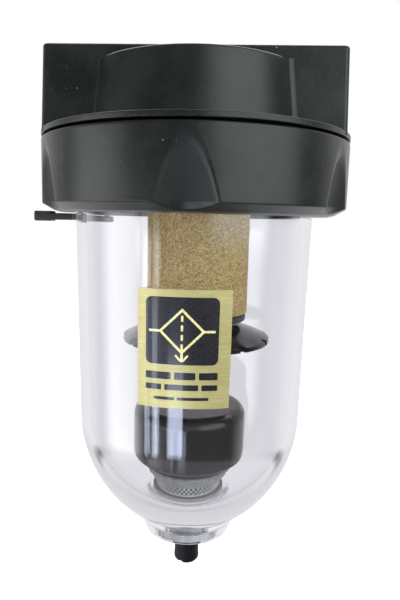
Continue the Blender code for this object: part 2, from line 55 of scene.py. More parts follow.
def rounded(points, fillet, arc=4, closed=True):
    """A (radius, height) outline with its corners filleted; a third number is a corner's own fillet."""
    count, made = len(points), []
    for i, corner in enumerate(points):
        p = np.array(corner[:2], float)
        f = corner[2] if len(corner) > 2 else fillet
        if (not closed and i in (0, count - 1)) or p[0] < 1e-9 or f <= 0:
            made.append(tuple(p))
            continue
        a = np.array(points[i - 1][:2], float) - p
        b = np.array(points[(i + 1) % count][:2], float) - p
        la, lb = np.linalg.norm(a), np.linalg.norm(b)
        a, b = a / la, b / lb
        angle = math.acos(max(-1.0, min(1.0, float(a @ b))))
        if angle > math.radians(168):
            made.append(tuple(p))
            continue
        t = min(f / math.tan(angle / 2), 0.46 * la, 0.46 * lb)
        r = t * math.tan(angle / 2)
        bisector = (a + b) / np.linalg.norm(a + b)
        centre = p + bisector * (r / math.sin(angle / 2))
        start, end = p + a * t - centre, p + b * t - centre
        turn = math.pi - angle
        sign = 1.0 if start[0] * end[1] - start[1] * end[0] > 0 else -1.0
        for k in range(arc + 1):
            w = sign * turn * k / arc
            made.append((centre[0] + start[0] * math.cos(w) - start[1] * math.sin(w),
                         centre[1] + start[0] * math.sin(w) + start[1] * math.cos(w)))
    return made


def split(points, step, closed=True):
    """The outline with its long spans cut to at most step."""
    made = []
    pairs = list(zip(points, points[1:] + points[:1])) if closed else list(zip(points, points[1:]))
    for p, q in pairs:
        n = max(1, math.ceil(math.hypot(q[0] - p[0], q[1] - p[1]) / step))
        made += [(p[0] + (q[0] - p[0]) * k / n, p[1] + (q[1] - p[1]) * k / n) for k in range(n)]
    if not closed:
        made.append(points[-1])
    return made


def mesh_object(name, verts, faces, sharp=None):
    mesh = bpy.data.meshes.new(name)
    mesh.from_pydata((np.asarray(verts, float) * MM).tolist(), [], faces)
    mesh.update()
    bm = bmesh.new()
    bm.from_mesh(mesh)
    bmesh.ops.remove_doubles(bm, verts=bm.verts, dist=2e-7)
    bmesh.ops.dissolve_degenerate(bm, dist=1e-7, edges=bm.edges)
    if bm.calc_volume(signed=True) < 0:
        bmesh.ops.reverse_faces(bm, faces=bm.faces)
    bm.to_mesh(mesh)
    bm.free()
    obj = bpy.data.objects.new(name, mesh)
    bpy.context.scene.collection.objects.link(obj)
    mesh.shade_smooth()
    if sharp:
        mesh.set_sharp_from_angle(angle=math.radians(sharp))
    return obj


def grid(name, radius, height, theta, closed=True, centre=(0.0, 0.0), sharp=None):
    """A turned surface from radius and height arrays of rows by columns; radius 0 is a pole."""
    rows, cols = radius.shape
    x = centre[0] + radius * np.cos(theta)[None, :]
    y = centre[1] + radius * np.sin(theta)[None, :]
    verts = np.stack([x, y, height], axis=2).reshape(-1, 3)
    faces = []
    last = rows if closed else rows - 1
    j = np.arange(cols)
    k = (j + 1) % cols
    for i in range(last):
        n = (i + 1) % rows
        faces += np.stack([i * cols + j, i * cols + k, n * cols + k, n * cols + j], axis=1).tolist()
    return mesh_object(name, verts, faces, sharp)


def lathe(name, profile, segs=96, fillet=0.15, arc=3, closed=None, centre=(0.0, 0.0),
          step=None, shape=None, sharp=None):
    """A turned solid; shape(radius, height, theta) may add what isn't round."""
    closed = not (profile[0][0] < 1e-9 and profile[-1][0] < 1e-9) if closed is None else closed
    points = rounded(profile, fillet, arc, closed)
    if step:
        points = split(points, step, closed)
    theta = np.arange(segs) * TAU / segs
    r = np.repeat(np.array([p[0] for p in points])[:, None], segs, axis=1)
    z = np.repeat(np.array([p[1] for p in points])[:, None], segs, axis=1)
    if shape:
        r, z = shape(r, z, np.repeat(theta[None, :], len(points), axis=0))
    return grid(name, r, z, theta, closed, centre, sharp)


def rod(bm, radius, start, end, steps, radius_end=None):
    start, end = np.array(start, float), np.array(end, float)
    w = end - start
    w /= np.linalg.norm(w)
    u = np.cross(w, (0.0, 1.0, 0.0) if abs(w[1]) < 0.9 else (1.0, 0.0, 0.0))
    u /= np.linalg.norm(u)
    v = np.cross(w, u)
    loops = []
    for point, r in ((start, radius), (end, radius if radius_end is None else radius_end)):
        loops.append([bm.verts.new((point + r * (math.cos(a) * u + math.sin(a) * v)) * MM)
                      for a in (TAU * i / steps for i in range(steps))])
    for i in range(steps):
        j = (i + 1) % steps
        bm.faces.new((loops[0][i], loops[0][j], loops[1][j], loops[1][i]))
    bm.faces.new(loops[0][::-1])
    bm.faces.new(loops[1])


def from_bm(name, bm, sharp=None):
    bmesh.ops.recalc_face_normals(bm, faces=bm.faces)
    mesh = bpy.data.meshes.new(name)
    bm.to_mesh(mesh)
    bm.free()
    obj = bpy.data.objects.new(name, mesh)
    bpy.context.scene.collection.objects.link(obj)
    mesh.shade_smooth()
    if sharp:
        mesh.set_sharp_from_angle(angle=math.radians(sharp))
    return obj


def solid_op(obj, other, operation, solver="MANIFOLD"):
    """Applies a Boolean at once and removes the other solid."""
    modifier = obj.modifiers.new("op", "BOOLEAN")
    modifier.operation = operation
    modifier.solver = solver
    modifier.object = other
    bpy.context.view_layer.update()
    graph = bpy.context.evaluated_depsgraph_get()
    mesh = bpy.data.meshes.new_from_object(obj.evaluated_get(graph))
    old = obj.data
    obj.modifiers.clear()
    mesh.name = old.name
    obj.data = mesh
    bpy.data.meshes.remove(old)
    bpy.data.objects.remove(other, do_unlink=True)
    return obj


def resharp(obj, degrees):
    obj.data.shade_smooth()
    obj.data.set_sharp_from_angle(angle=math.radians(degrees))
    return obj


def polar(radius, degrees, z=0.0):
    a = math.radians(degrees)
    return (radius * math.cos(a), radius * math.sin(a), z)


def smin(a, b, k):
    h = np.clip(0.5 + 0.5 * (b - a) / k, 0, 1)
    return b * (1 - h) + a * h - k * h * (1 - h)


def place(obj, material, body, nodes=(), weighted=True):
    """Gives a finished piece its material, its CAD body and the CAD nodes it stands for."""
    obj.data.transform(Matrix.Translation((0, 0, -TOP_Z * MM)))
    obj.data.materials.clear()
    obj.data.materials.append(material)
    if weighted:
        modifier = obj.modifiers.new("weighted", "WEIGHTED_NORMAL")
        modifier.keep_sharp = True
        modifier.weight = 50
    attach(obj, body)
    if nodes:
        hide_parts(*nodes)
    return obj


# ================================================================ material helpers

def make(tree, kind, ins=None, **props):
    node = tree.nodes.new(kind)
    for key, value in props.items():
        setattr(node, key, value)
    for key, value in (ins or {}).items():
        socket = node.inputs[key]
        if isinstance(value, bpy.types.NodeSocket):
            tree.links.new(value, socket)
        else:
            socket.default_value = value
    return node


def calc(tree, operation, a, b=0.0, c=0.0, clamp=False):
    return make(tree, "ShaderNodeMath", {0: a, 1: b, 2: c}, operation=operation,
                use_clamp=clamp).outputs[0]


def ramp(tree, value, low, high, to_low=0.0, to_high=1.0, smooth=True):
    """Maps low..high to to_low..to_high, clamped."""
    return make(tree, "ShaderNodeMapRange",
                {"Value": value, "From Min": low, "From Max": high,
                 "To Min": to_low, "To Max": to_high},
                interpolation_type="SMOOTHSTEP" if smooth else "LINEAR").outputs["Result"]


def mix(tree, factor, a, b, blend="MIX"):
    node = tree.nodes.new("ShaderNodeMix")
    node.data_type = "RGBA"
    node.blend_type = blend
    for index, value in ((0, factor), (6, a), (7, b)):
        if isinstance(value, bpy.types.NodeSocket):
            tree.links.new(value, node.inputs[index])
        else:
            node.inputs[index].default_value = value if index == 0 else (*value[:3], 1.0)
    return node.outputs[2]


def start(name):
    material = bpy.data.materials.new(name)
    material.use_nodes = True
    tree = material.node_tree
    tree.nodes.clear()
    return material, tree


def millimetres(tree, stretch=(1.0, 1.0, 1.0)):
    """Object coordinates in millimetres."""
    place_ = make(tree, "ShaderNodeTexCoord").outputs["Object"]
    return make(tree, "ShaderNodeVectorMath",
                {0: place_, 1: tuple(1000.0 * s for s in stretch)},
                operation="MULTIPLY").outputs[0]


def noise(tree, vector, size, detail=2.0, rough=0.5, distortion=0.0):
    """Noise whose features are about size millimetres."""
    return make(tree, "ShaderNodeTexNoise",
                {"Vector": vector, "Scale": 1.0 / size, "Detail": detail, "Roughness": rough,
                 "Distortion": distortion}).outputs["Fac"]


def specks(tree, vector, size, radius, share):
    """1 inside sparse dots: one in a share of the cells of this size, of about this radius."""
    cells = make(tree, "ShaderNodeTexVoronoi", {"Vector": vector, "Scale": 1.0 / size})
    dot = ramp(tree, cells.outputs["Distance"], radius / size, 0.45 * radius / size)
    chosen = make(tree, "ShaderNodeSeparateColor", {"Color": cells.outputs["Color"]})
    return calc(tree, "MULTIPLY", dot, calc(tree, "LESS_THAN", chosen.outputs[0], share))


def bump(tree, height, distance, strength=1.0, normal=None):
    ins = {"Height": height, "Distance": distance * MM, "Strength": strength}
    if normal is not None:
        ins["Normal"] = normal
    return make(tree, "ShaderNodeBump", ins).outputs["Normal"]


def end(tree, shader):
    make(tree, "ShaderNodeOutputMaterial", {"Surface": shader})


def principled(tree, **ins):
    names = {"colour": "Base Color", "metallic": "Metallic", "rough": "Roughness",
             "normal": "Normal", "ior": "IOR", "specular": "Specular IOR Level",
             "coat": "Coat Weight", "coat_rough": "Coat Roughness",
             "transmission": "Transmission Weight", "anisotropic": "Anisotropic",
             "sheen": "Sheen Weight", "subsurface": "Subsurface Weight"}
    values = {}
    for key, value in ins.items():
        if key == "colour" and not isinstance(value, bpy.types.NodeSocket):
            value = (*value[:3], 1.0)
        values[names[key]] = value
    return make(tree, "ShaderNodeBsdfPrincipled", values).outputs["BSDF"]


# ================================================================ materials

def black_paint(name, rough, rub, tint=(0.0080, 0.0092, 0.0089), flutes=False):
    """Satin stove paint over a die casting: fine orange peel, dust and lightly rubbed edges."""
    material, tree = start(name)
    co = millimetres(tree)
    broad = noise(tree, co, 9.0, 2.0)
    fine = noise(tree, co, 0.42, 3.0, 0.6)
    peel = noise(tree, co, 1.5, 2.0, 0.55)
    base = mix(tree, ramp(tree, broad, 0.35, 0.68), tuple(c * 0.78 for c in tint),
               tuple(c * 1.35 for c in tint))
    base = mix(tree, ramp(tree, fine, 0.52, 0.74, 0.0, 0.45), base, tuple(c * 3.0 for c in tint))
    # rubbed edges, from how convex the surface is
    edge = make(tree, "ShaderNodeNewGeometry").outputs["Pointiness"]
    worn = calc(tree, "MULTIPLY", ramp(tree, edge, 0.60, 0.72),
                ramp(tree, noise(tree, co, 2.3, 4.0, 0.65), 0.42, 0.66))
    base = mix(tree, calc(tree, "MULTIPLY", worn, rub), base, (0.10, 0.105, 0.10))
    dust = calc(tree, "MAXIMUM", specks(tree, co, 3.1, 0.15, 0.34),
                specks(tree, co, 1.3, 0.075, 0.22))
    lint = calc(tree, "MULTIPLY", specks(tree, millimetres(tree, (0.35, 1.0, 1.0)), 6.0, 0.16, 0.25),
                0.7)
    dust = calc(tree, "MAXIMUM", dust, lint)
    base = mix(tree, calc(tree, "MULTIPLY", dust, 0.75), base, (0.42, 0.43, 0.42))
    roughness = calc(tree, "ADD", ramp(tree, fine, 0.2, 0.8, rough - 0.05, rough + 0.07, False),
                     calc(tree, "MULTIPLY", dust, 0.3))
    if flutes:                                  # rougher paint in the flute hollows, and painted shade: their base colour is darkened
        place_mm = make(tree, "ShaderNodeSeparateXYZ", {"Vector": co})
        out = calc(tree, "SQRT", calc(tree, "ADD", calc(tree, "POWER", place_mm.outputs[0], 2.0),
                                      calc(tree, "POWER", place_mm.outputs[1], 2.0)))
        hollow_rough_and_shade = calc(tree, "SUBTRACT", 1.0, ramp(tree, out, 44.3, 44.8))
        hollow_rough_and_shade = calc(tree, "MULTIPLY", hollow_rough_and_shade, ramp(tree, place_mm.outputs[2], -41.4, -41.0))
        roughness = calc(tree, "ADD", roughness, calc(tree, "MULTIPLY", hollow_rough_and_shade, 0.24))
        # painted shade: the base colour is darkened in the flute hollows
        base = mix(tree, calc(tree, "MULTIPLY", hollow_rough_and_shade, 0.5), base, (0.004, 0.004, 0.004))
    normal = bump(tree, peel, 0.035, 0.55)
    normal = bump(tree, fine, 0.016, 0.8, normal)
    end(tree, principled(tree, colour=base, rough=roughness, normal=normal, ior=1.5))
    return material


def gloss_plastic(name, tint, rough, peel_mm=0.01, smear=0.09, dust_share=0.12, flow_mm=0.03,
                  ior=1.49):
    """Moulded plastic with a faint flow pattern, fingerprints and a little dust."""
    material, tree = start(name)
    co = millimetres(tree)
    flow = noise(tree, millimetres(tree, (1.0, 1.0, 0.25)), 4.0, 3.0, 0.5, 0.6)
    prints = noise(tree, co, 1.9, 5.0, 0.62)
    fine = noise(tree, co, 0.3, 2.0)
    base = mix(tree, flow, tuple(c * 0.8 for c in tint), tuple(min(1, c * 1.25) for c in tint))
    dust = specks(tree, co, 2.2, 0.09, dust_share)
    base = mix(tree, calc(tree, "MULTIPLY", dust, 0.45), base, (0.4, 0.4, 0.4))
    roughness = ramp(tree, prints, 0.35, 0.7, rough, rough + smear)
    normal = bump(tree, flow, flow_mm, 0.35)
    normal = bump(tree, fine, peel_mm, 0.5, normal)
    end(tree, principled(tree, colour=base, rough=roughness, normal=normal, ior=ior))
    return material


def rubber(name, tint=(0.014, 0.014, 0.015)):
    material, tree = start(name)
    co = millimetres(tree)
    fine = noise(tree, co, 0.22, 3.0, 0.6)
    bloom = noise(tree, co, 3.0, 3.0)
    base = mix(tree, ramp(tree, bloom, 0.4, 0.75), tint, tuple(c * 2.4 for c in tint))
    end(tree, principled(tree, colour=base, rough=ramp(tree, fine, 0.2, 0.8, 0.55, 0.78),
                         normal=bump(tree, fine, 0.02, 0.8), sheen=0.15))
    return material


def turned_metal(name, tint, rough, spacing=0.22, stain=(0.35, 0.30, 0.22)):
    """Metal with turning marks round its axis and slight staining."""
    material, tree = start(name)
    co = millimetres(tree)
    marks = noise(tree, millimetres(tree, (0.06, 0.06, 1.0)), spacing, 2.0, 0.5)
    spots = noise(tree, co, 1.6, 4.0, 0.6)
    base = mix(tree, ramp(tree, spots, 0.55, 0.8, 0.0, 0.55), tint, stain)
    base = mix(tree, ramp(tree, marks, 0.3, 0.7, 0.0, 0.25), base, tuple(c * 0.6 for c in tint))
    end(tree, principled(tree, colour=base, metallic=1.0,
                         rough=ramp(tree, marks, 0.25, 0.75, rough - 0.06, rough + 0.1),
                         normal=bump(tree, marks, 0.012, 0.7), anisotropic=0.35))
    return material


def sintered(name):
    """Bronze grains fused together, with painted light: crowns lighter than grain edges, a pale painted highlight on
    some grains, pores and pits darkened as painted shade, and a slight metallic sheen.
    """
    material, tree = start(name)
    co = millimetres(tree)
    warp = noise(tree, co, 0.5, 2.0)
    moved = make(tree, "ShaderNodeVectorMath", {0: co, 1: make(
        tree, "ShaderNodeCombineXYZ", {"X": warp, "Y": warp, "Z": warp}).outputs[0]},
        operation="ADD").outputs[0]
    grains = make(tree, "ShaderNodeTexVoronoi", {"Vector": moved, "Scale": 1.0 / 0.29})
    large = make(tree, "ShaderNodeTexVoronoi", {"Vector": moved, "Scale": 1.0 / 0.62})
    tone = make(tree, "ShaderNodeSeparateColor", {"Color": grains.outputs["Color"]})
    crown = ramp(tree, grains.outputs["Distance"], 0.0, 0.62)
    patch = noise(tree, co, 7.0, 3.0)
    # painted shade and highlight: each grain is lighter at its crown and darker towards its edge
    base = mix(tree, crown, (0.74, 0.53, 0.205), (0.36, 0.245, 0.080))
    # painted highlight: random grains are lifted towards a pale highlight colour
    base = mix(tree, ramp(tree, tone.outputs[0], 0.15, 1.0, 0.0, 0.55), base, (0.92, 0.71, 0.33))
    # painted shade: the pores are darkened
    pore = ramp(tree, tone.outputs[1], 0.66, 0.76)
    base = mix(tree, calc(tree, "MULTIPLY", pore, 0.62), base, (0.085, 0.055, 0.022))
    # painted shade: darker towards the edges of the larger cells
    pit = ramp(tree, large.outputs["Distance"], 0.66, 0.86)
    base = mix(tree, calc(tree, "MULTIPLY", pit, 0.28), base, (0.12, 0.08, 0.03))
    base = mix(tree, ramp(tree, patch, 0.35, 0.7, 0.0, 0.22), base, (0.50, 0.40, 0.20))
    height = calc(tree, "SUBTRACT", 1.0, calc(tree, "ADD", crown, calc(tree, "MULTIPLY", pore, 0.6)))
    end(tree, principled(tree, colour=base, metallic=0.25,
                         rough=ramp(tree, tone.outputs[2], 0.0, 1.0, 0.42, 0.70),
                         normal=bump(tree, height, 0.16, 0.9)))
    return material


def foil(name):
    """Brushed gold foil, with the brushing running round the bowl, and a pale back."""
    material, tree = start(name)
    brush = noise(tree, millimetres(tree, (0.045, 0.045, 1.0)), 0.16, 3.0, 0.65)
    broad = noise(tree, millimetres(tree, (0.12, 0.12, 1.0)), 1.6, 2.0, 0.5)
    co = millimetres(tree)
    mottled = noise(tree, co, 6.0, 3.0)
    base = mix(tree, ramp(tree, brush, 0.25, 0.75), (0.39, 0.345, 0.135), (0.54, 0.49, 0.235))
    base = mix(tree, ramp(tree, broad, 0.45, 0.75, 0.0, 0.35), base, (0.35, 0.305, 0.112))
    base = mix(tree, ramp(tree, mottled, 0.4, 0.7, 0.0, 0.25), base, (0.52, 0.48, 0.28))
    scratch = ramp(tree, noise(tree, millimetres(tree, (0.02, 0.02, 1.0)), 0.075, 1.0), 0.66, 0.72)
    base = mix(tree, calc(tree, "MULTIPLY", scratch, 0.3), base, (0.40, 0.35, 0.16))
    front = principled(tree, colour=base, metallic=0.45,
                       rough=ramp(tree, brush, 0.2, 0.8, 0.26, 0.44),
                       normal=bump(tree, brush, 0.008, 0.8), anisotropic=0.5, coat=0.25,
                       coat_rough=0.08)
    back = principled(tree, colour=mix(tree, mottled, (0.55, 0.55, 0.53), (0.66, 0.66, 0.64)),
                      rough=0.6)
    # the side that faces the bowl is adhesive paper: it points at the bowl's axis
    where = make(tree, "ShaderNodeSeparateXYZ", {"Vector": co})
    facing = make(tree, "ShaderNodeSeparateXYZ",
                  {"Vector": make(tree, "ShaderNodeNewGeometry").outputs["True Normal"]})
    outward = calc(tree, "ADD", calc(tree, "MULTIPLY", where.outputs[0], facing.outputs[0]),
                   calc(tree, "MULTIPLY", where.outputs[1], facing.outputs[1]))
    side = make(tree, "ShaderNodeMixShader", {0: calc(tree, "GREATER_THAN", outward, -0.5),
                                              1: back, 2: front}).outputs[0]
    end(tree, side)
    return material


def ink(name, tint, metallic, rough):
    """Screen-printed ink, with pinholes."""
    material, tree = start(name)
    co = millimetres(tree)
    film = noise(tree, co, 0.5, 3.0, 0.6)
    pin = specks(tree, co, 0.9, 0.07, 0.16)
    base = mix(tree, ramp(tree, film, 0.35, 0.75), tint, tuple(min(1.0, c * 1.6) for c in tint))
    base = mix(tree, calc(tree, "MULTIPLY", pin, 0.6), base, (0.45, 0.40, 0.2))
    end(tree, principled(tree, colour=base, metallic=metallic,
                         rough=ramp(tree, film, 0.3, 0.8, rough, rough + 0.12),
                         normal=bump(tree, film, 0.008, 0.6), coat=0.6, coat_rough=0.05))
    return material


def polycarbonate(name):
    """Clear moulded polycarbonate: refracting, faintly grey, with dust and hairline scratches."""
    material, tree = start(name)
    co = millimetres(tree)
    ripple = noise(tree, millimetres(tree, (1.0, 1.0, 0.12)), 9.0, 2.0)
    hair = ramp(tree, noise(tree, millimetres(tree, (1.0, 1.0, 0.05)), 0.32, 2.0), 0.70, 0.76)
    normal = bump(tree, ripple, 0.05, 0.5)
    normal = bump(tree, hair, 0.004, 0.4, normal)
    glass = make(tree, "ShaderNodeBsdfGlass",
                 {"Color": (0.972, 0.970, 0.982, 1.0), "Roughness": 0.0, "IOR": 1.55,
                  "Normal": normal}).outputs[0]
    clear = make(tree, "ShaderNodeBsdfTransparent", {"Color": (0.965, 0.965, 0.97, 1.0)}).outputs[0]
    path = make(tree, "ShaderNodeLightPath")
    passes = calc(tree, "MAXIMUM", path.outputs["Is Shadow Ray"], path.outputs["Is Diffuse Ray"])
    body = make(tree, "ShaderNodeMixShader", {0: passes, 1: glass, 2: clear}).outputs[0]
    # painted light: rays that have bounced inside the wall stop there and glow with an emitted pale colour, darker
    # towards the bottom of the dome, standing for the light of a thick moulding
    inner_glow_where = calc(tree, "MULTIPLY", calc(tree, "GREATER_THAN", path.outputs["Glossy Depth"], 1.5),
                  calc(tree, "LESS_THAN", path.outputs["Transmission Depth"], 3.5))
    height = make(tree, "ShaderNodeSeparateXYZ", {"Vector": co}).outputs[2]
    pale = mix(tree, ramp(tree, height, -142.0, -139.5), (0.26, 0.26, 0.285), (0.68, 0.68, 0.70))
    glow = make(tree, "ShaderNodeEmission", {"Color": pale, "Strength": 1.0}).outputs[0]
    body = make(tree, "ShaderNodeMixShader", {0: inner_glow_where, 1: body, 2: glow}).outputs[0]
    film = principled(tree, colour=(0.30, 0.30, 0.31), rough=0.7)
    dust = calc(tree, "MAXIMUM", specks(tree, co, 4.6, 0.16, 0.35),
                calc(tree, "MULTIPLY", specks(tree, co, 1.9, 0.08, 0.10), 0.7))
    end(tree, make(tree, "ShaderNodeMixShader",
                   {0: calc(tree, "MULTIPLY", dust, 0.6), 1: body, 2: film}).outputs[0])
    return material


HEAD_PAINT = black_paint("paint_head", 0.33, 0.0)
RING_PAINT = black_paint("paint_ring", 0.30, 0.25, flutes=True)
LEVER_PLASTIC = gloss_plastic("plastic_lever", (0.022, 0.021, 0.021), 0.38, 0.03, 0.1, 0.2)
GLOSS_BLACK = gloss_plastic("plastic_gloss_black", (0.0135, 0.0125, 0.0125), 0.10)
FLOAT_BLACK = gloss_plastic("plastic_float", (0.019, 0.018, 0.018), 0.10, 0.012, 0.08, 0.2)
STEM_BLACK = gloss_plastic("plastic_stem", (0.0035, 0.0035, 0.004), 0.44, 0.02, 0.1, 0.12, ior=1.33)
DISC_BLACK = gloss_plastic("plastic_disc", (0.010, 0.010, 0.011), 0.12, 0.006, 0.08, 0.15, 0.004)
DARK_PLASTIC = gloss_plastic("plastic_dark", (0.02, 0.02, 0.022), 0.3)
GREY = gloss_plastic("plastic_grey", (0.13, 0.133, 0.140), 0.38, 0.02, 0.12, 0.1)
PALE = gloss_plastic("plastic_pale", (0.30, 0.30, 0.32), 0.30, 0.02, 0.12, 0.1)
GREY_SCREEN = gloss_plastic("plastic_screen", (0.37, 0.375, 0.385), 0.42, 0.02, 0.1, 0.05)
RUBBER = rubber("rubber_black")
ZINC = turned_metal("zinc_steel", (0.62, 0.62, 0.60), 0.30)
SPRING = turned_metal("spring_steel", (0.60, 0.60, 0.61), 0.24, 0.12)
BRASS = turned_metal("brass", (0.72, 0.53, 0.24), 0.28)
BRONZE = sintered("sintered_bronze")
FOIL = foil("gold_foil")
INK = ink("ink_black", (0.010, 0.010, 0.013), 0.0, 0.26)
INK_GOLD = ink("ink_gold", (0.62, 0.56, 0.28), 0.35, 0.34)
CLEAR = polycarbonate("clear_polycarbonate")


# ================================================================ head

THREAD_PITCH = 4.0


def ridge(offset, foot, crest):
    """A trapezium from 0 to 1: foot and crest are its half widths."""
    return np.clip((foot - np.abs(offset)) / (foot - crest), 0, 1)


def helix_height(theta, z, start_z, turns, pitch, foot, crest, fade=12.0):
    """How much of a helical thread stands at an angle and a height."""
    full = np.zeros_like(z)
    for turn in range(-1, int(turns) + 2):
        centre = start_z + pitch * (theta / TAU + turn)
        along = (turn + theta / TAU) * 360.0
        ends = np.clip(along / fade, 0, 1) * np.clip((turns * 360.0 - along) / fade, 0, 1)
        full = np.maximum(full, ridge(z - centre, foot, crest) * ends)
    return full


def skirt(r, z, theta):
    lead = helix_height(theta, z, -33.9, 2, THREAD_PITCH, 1.05, 0.50)
    outer = (np.abs(r - 40.6) < 0.02) & (z < -23.0)
    return np.where(outer, r + 1.2 * lead, r), z


head_outline = [
    (0.0, -2.85), (31.6, -2.85, 0.75), (33.7, -20.7, 0.9), (45.0, -20.7, 0.34), (45.0, -22.2, 0.22),
    (40.6, -22.2, 0.3), (40.6, -36.0, 0.5), (36.8, -36.0, 0.3), (36.8, -24.5, 0.8), (12.0, -24.5, 0.6),
    (12.0, -27.0, 0.4), (0.0, -27.0)]
points = rounded(head_outline, 0.3, 6, closed=False)
fine_points = []
for p, q in zip(points, points[1:]):           # close rows where the thread stands
    on_skirt = abs(p[0] - 40.6) < 0.02 and abs(q[0] - 40.6) < 0.02
    n = max(1, math.ceil(abs(q[1] - p[1]) / 0.22)) if on_skirt else 1
    fine_points += [(p[0] + (q[0] - p[0]) * k / n, p[1] + (q[1] - p[1]) * k / n) for k in range(n)]
fine_points.append(points[-1])
HEAD_SEGS = 288
theta = np.arange(HEAD_SEGS) * TAU / HEAD_SEGS
R = np.repeat(np.array([p[0] for p in fine_points])[:, None], HEAD_SEGS, axis=1)
Z = np.repeat(np.array([p[1] for p in fine_points])[:, None], HEAD_SEGS, axis=1)
R, Z = skirt(R, Z, np.repeat(theta[None, :], len(fine_points), axis=0))
head = grid("head_casting", R, Z, theta, closed=False)

bm = bmesh.new()                               # the block across the head, with draft
for vert in bmesh.ops.create_cube(bm, size=2.0)["verts"]:
    top = vert.co.z > 0
    vert.co = (vert.co.x * (40.2 if top else 40.7) * MM, vert.co.y * (19.6 if top else 20.8) * MM,
               (TOP_Z if top else -21.75) * MM)
upright = [e for e in bm.edges if abs(e.verts[0].co.z - e.verts[1].co.z) > 5 * MM]
bmesh.ops.bevel(bm, geom=upright, offset=1.3 * MM, segments=8, profile=0.5, affect="EDGES")
rim = [e for e in bm.edges if min(v.co.z for v in e.verts) > -0.01 * MM]
bmesh.ops.bevel(bm, geom=rim, offset=0.9 * MM, segments=5, profile=0.5, affect="EDGES")
solid_op(head, from_bm("head_block", bm), "UNION")

# Cast fillets where the block's sides run into the round boss.
def corner_fillet(side_x, side_y, radius=1.6, steps=7):
    """A concave fillet standing in the upright corner between block side and boss."""
    bm = bmesh.new()
    loops = []
    for z in (-2.9, -20.9):
        share = (z + 2.85) / (-20.7 + 2.85)
        boss = 31.6 + 2.1 * share
        flat = 19.6 + 1.2 * (TOP_Z - z) / (TOP_Z + 21.75)
        # circle tangent to the block's side and to the boss, outside both
        cy = flat + radius
        cx = math.sqrt((boss + radius) ** 2 - cy ** 2)
        on_flat = (cx, flat)
        scale = boss / (boss + radius)
        on_boss = (cx * scale, cy * scale)
        a0 = math.atan2(on_flat[1] - cy, on_flat[0] - cx)
        a1 = math.atan2(on_boss[1] - cy, on_boss[0] - cx)
        if a1 > 0:
            a1 -= TAU
        arc_points = [(cx + radius * math.cos(a0 + (a1 - a0) * k / steps),
                       cy + radius * math.sin(a0 + (a1 - a0) * k / steps)) for k in range(steps + 1)]
        deep_x, deep_y = math.sqrt(boss ** 2 - flat ** 2) - 1.2, flat - 0.9
        outline = [(on_flat[0], on_flat[1] - 0.9)] + arc_points + [
            (on_boss[0] * 0.965, on_boss[1] * 0.965), (deep_x, deep_y)]
        loops.append([bm.verts.new((side_x * x * MM, side_y * y * MM, z * MM)) for x, y in outline])
    n = len(loops[0])
    for i in range(n):
        j = (i + 1) % n
        bm.faces.new((loops[0][i], loops[0][j], loops[1][j], loops[1][i]))
    bm.faces.new(loops[0][::-1])
    bm.faces.new(loops[1])
    return from_bm("fillet", bm)


for sx in (-1, 1):
    for sy in (-1, 1):
        solid_op(head, corner_fillet(sx, sy, 2.5 if sx == -sy else 1.1), "UNION")

bm = bmesh.new()                               # raised pads faced flat round the ports
for side in (-1, 1):
    rod(bm, 9.9, (side * 36.0, 0, -11.1), (side * 41.0, 0, -11.1), 96)
pads = from_bm("pads", bm)
solid_op(head, pads, "UNION")
bm = bmesh.new()
for side in (-1, 1):
    rod(bm, 9.7, (side * 36.0, 0, -11.1), (side * 41.2, 0, -11.1), 96)
solid_op(head, from_bm("pads", bm), "UNION")


def threaded_cutter(x_from, x_to, side):
    """A pipe-threaded bore as a solid: taper, fourteen-odd turns, and a coned mouth."""
    segs, step = 72, 0.11
    xs = np.arange(0.0, abs(x_to - x_from) + step, step)
    th = np.arange(segs) * TAU / segs
    pitch, depth = 1.41, 0.62
    face = 41.2
    verts, faces = [], []
    for x in xs:
        here = x_from + (x if x_to > x_from else -x)
        inside = face - abs(here)
        ease = np.clip(inside / 2.4, 0, 1) * np.clip((16.5 - inside) / 3.0, 0, 1) if side else 0.0
        wave = np.abs(((here / pitch - th / TAU * side) % 1.0) - 0.5) * 2
        wave = np.clip(wave * 1.35 - 0.17, 0, 1)
        r = 7.35 + depth * wave * ease + max(0.0, 1.1 - inside) * 0.62 * (1 if inside > -3 else 0)
        r = np.minimum(r, 8.75)
        verts += np.stack([np.full(segs, here), r * np.cos(th), -11.1 + r * np.sin(th)], axis=1).tolist()
    rows = len(xs)
    for i in range(rows - 1):
        for j in range(segs):
            k = (j + 1) % segs
            faces.append((i * segs + j, i * segs + k, (i + 1) * segs + k, (i + 1) * segs + j))
    faces.append(tuple(range(segs))[::-1])
    faces.append(tuple((rows - 1) * segs + j for j in range(segs)))
    return mesh_object("cutter", verts, faces)


solid_op(head, threaded_cutter(-6.0, 46.0, 1), "DIFFERENCE")
solid_op(head, threaded_cutter(-18.4, -46.0, -1), "DIFFERENCE")
for spec in ((8.8, (*STACK, -12.8), (*STACK, -21.6), 64), (5.5, (-25.5, 0, -9.8), (-25.5, 0, -25.7), 48)):
    bm = bmesh.new()
    rod(bm, *spec)
    solid_op(head, from_bm("cutter", bm), "DIFFERENCE")
for i in range(3):
    bm = bmesh.new()
    x, y, _ = polar(6.1, 90 + 120 * i)
    x += STACK[0]
    rod(bm, 2.4, (x, y, -20.0), (x, y, -28.0), 32)
    solid_op(head, from_bm("cutter", bm), "DIFFERENCE")
bm = bmesh.new()
rod(bm, 2.6, (*STACK, -20.0), (*STACK, -28.0), 32)
solid_op(head, from_bm("cutter", bm), "DIFFERENCE")
resharp(head, 38)
place(head, HEAD_PAINT, "head", ["head"])


# ================================================================ clamp ring

RING_COLS = 900
theta = np.arange(RING_COLS) * TAU / RING_COLS


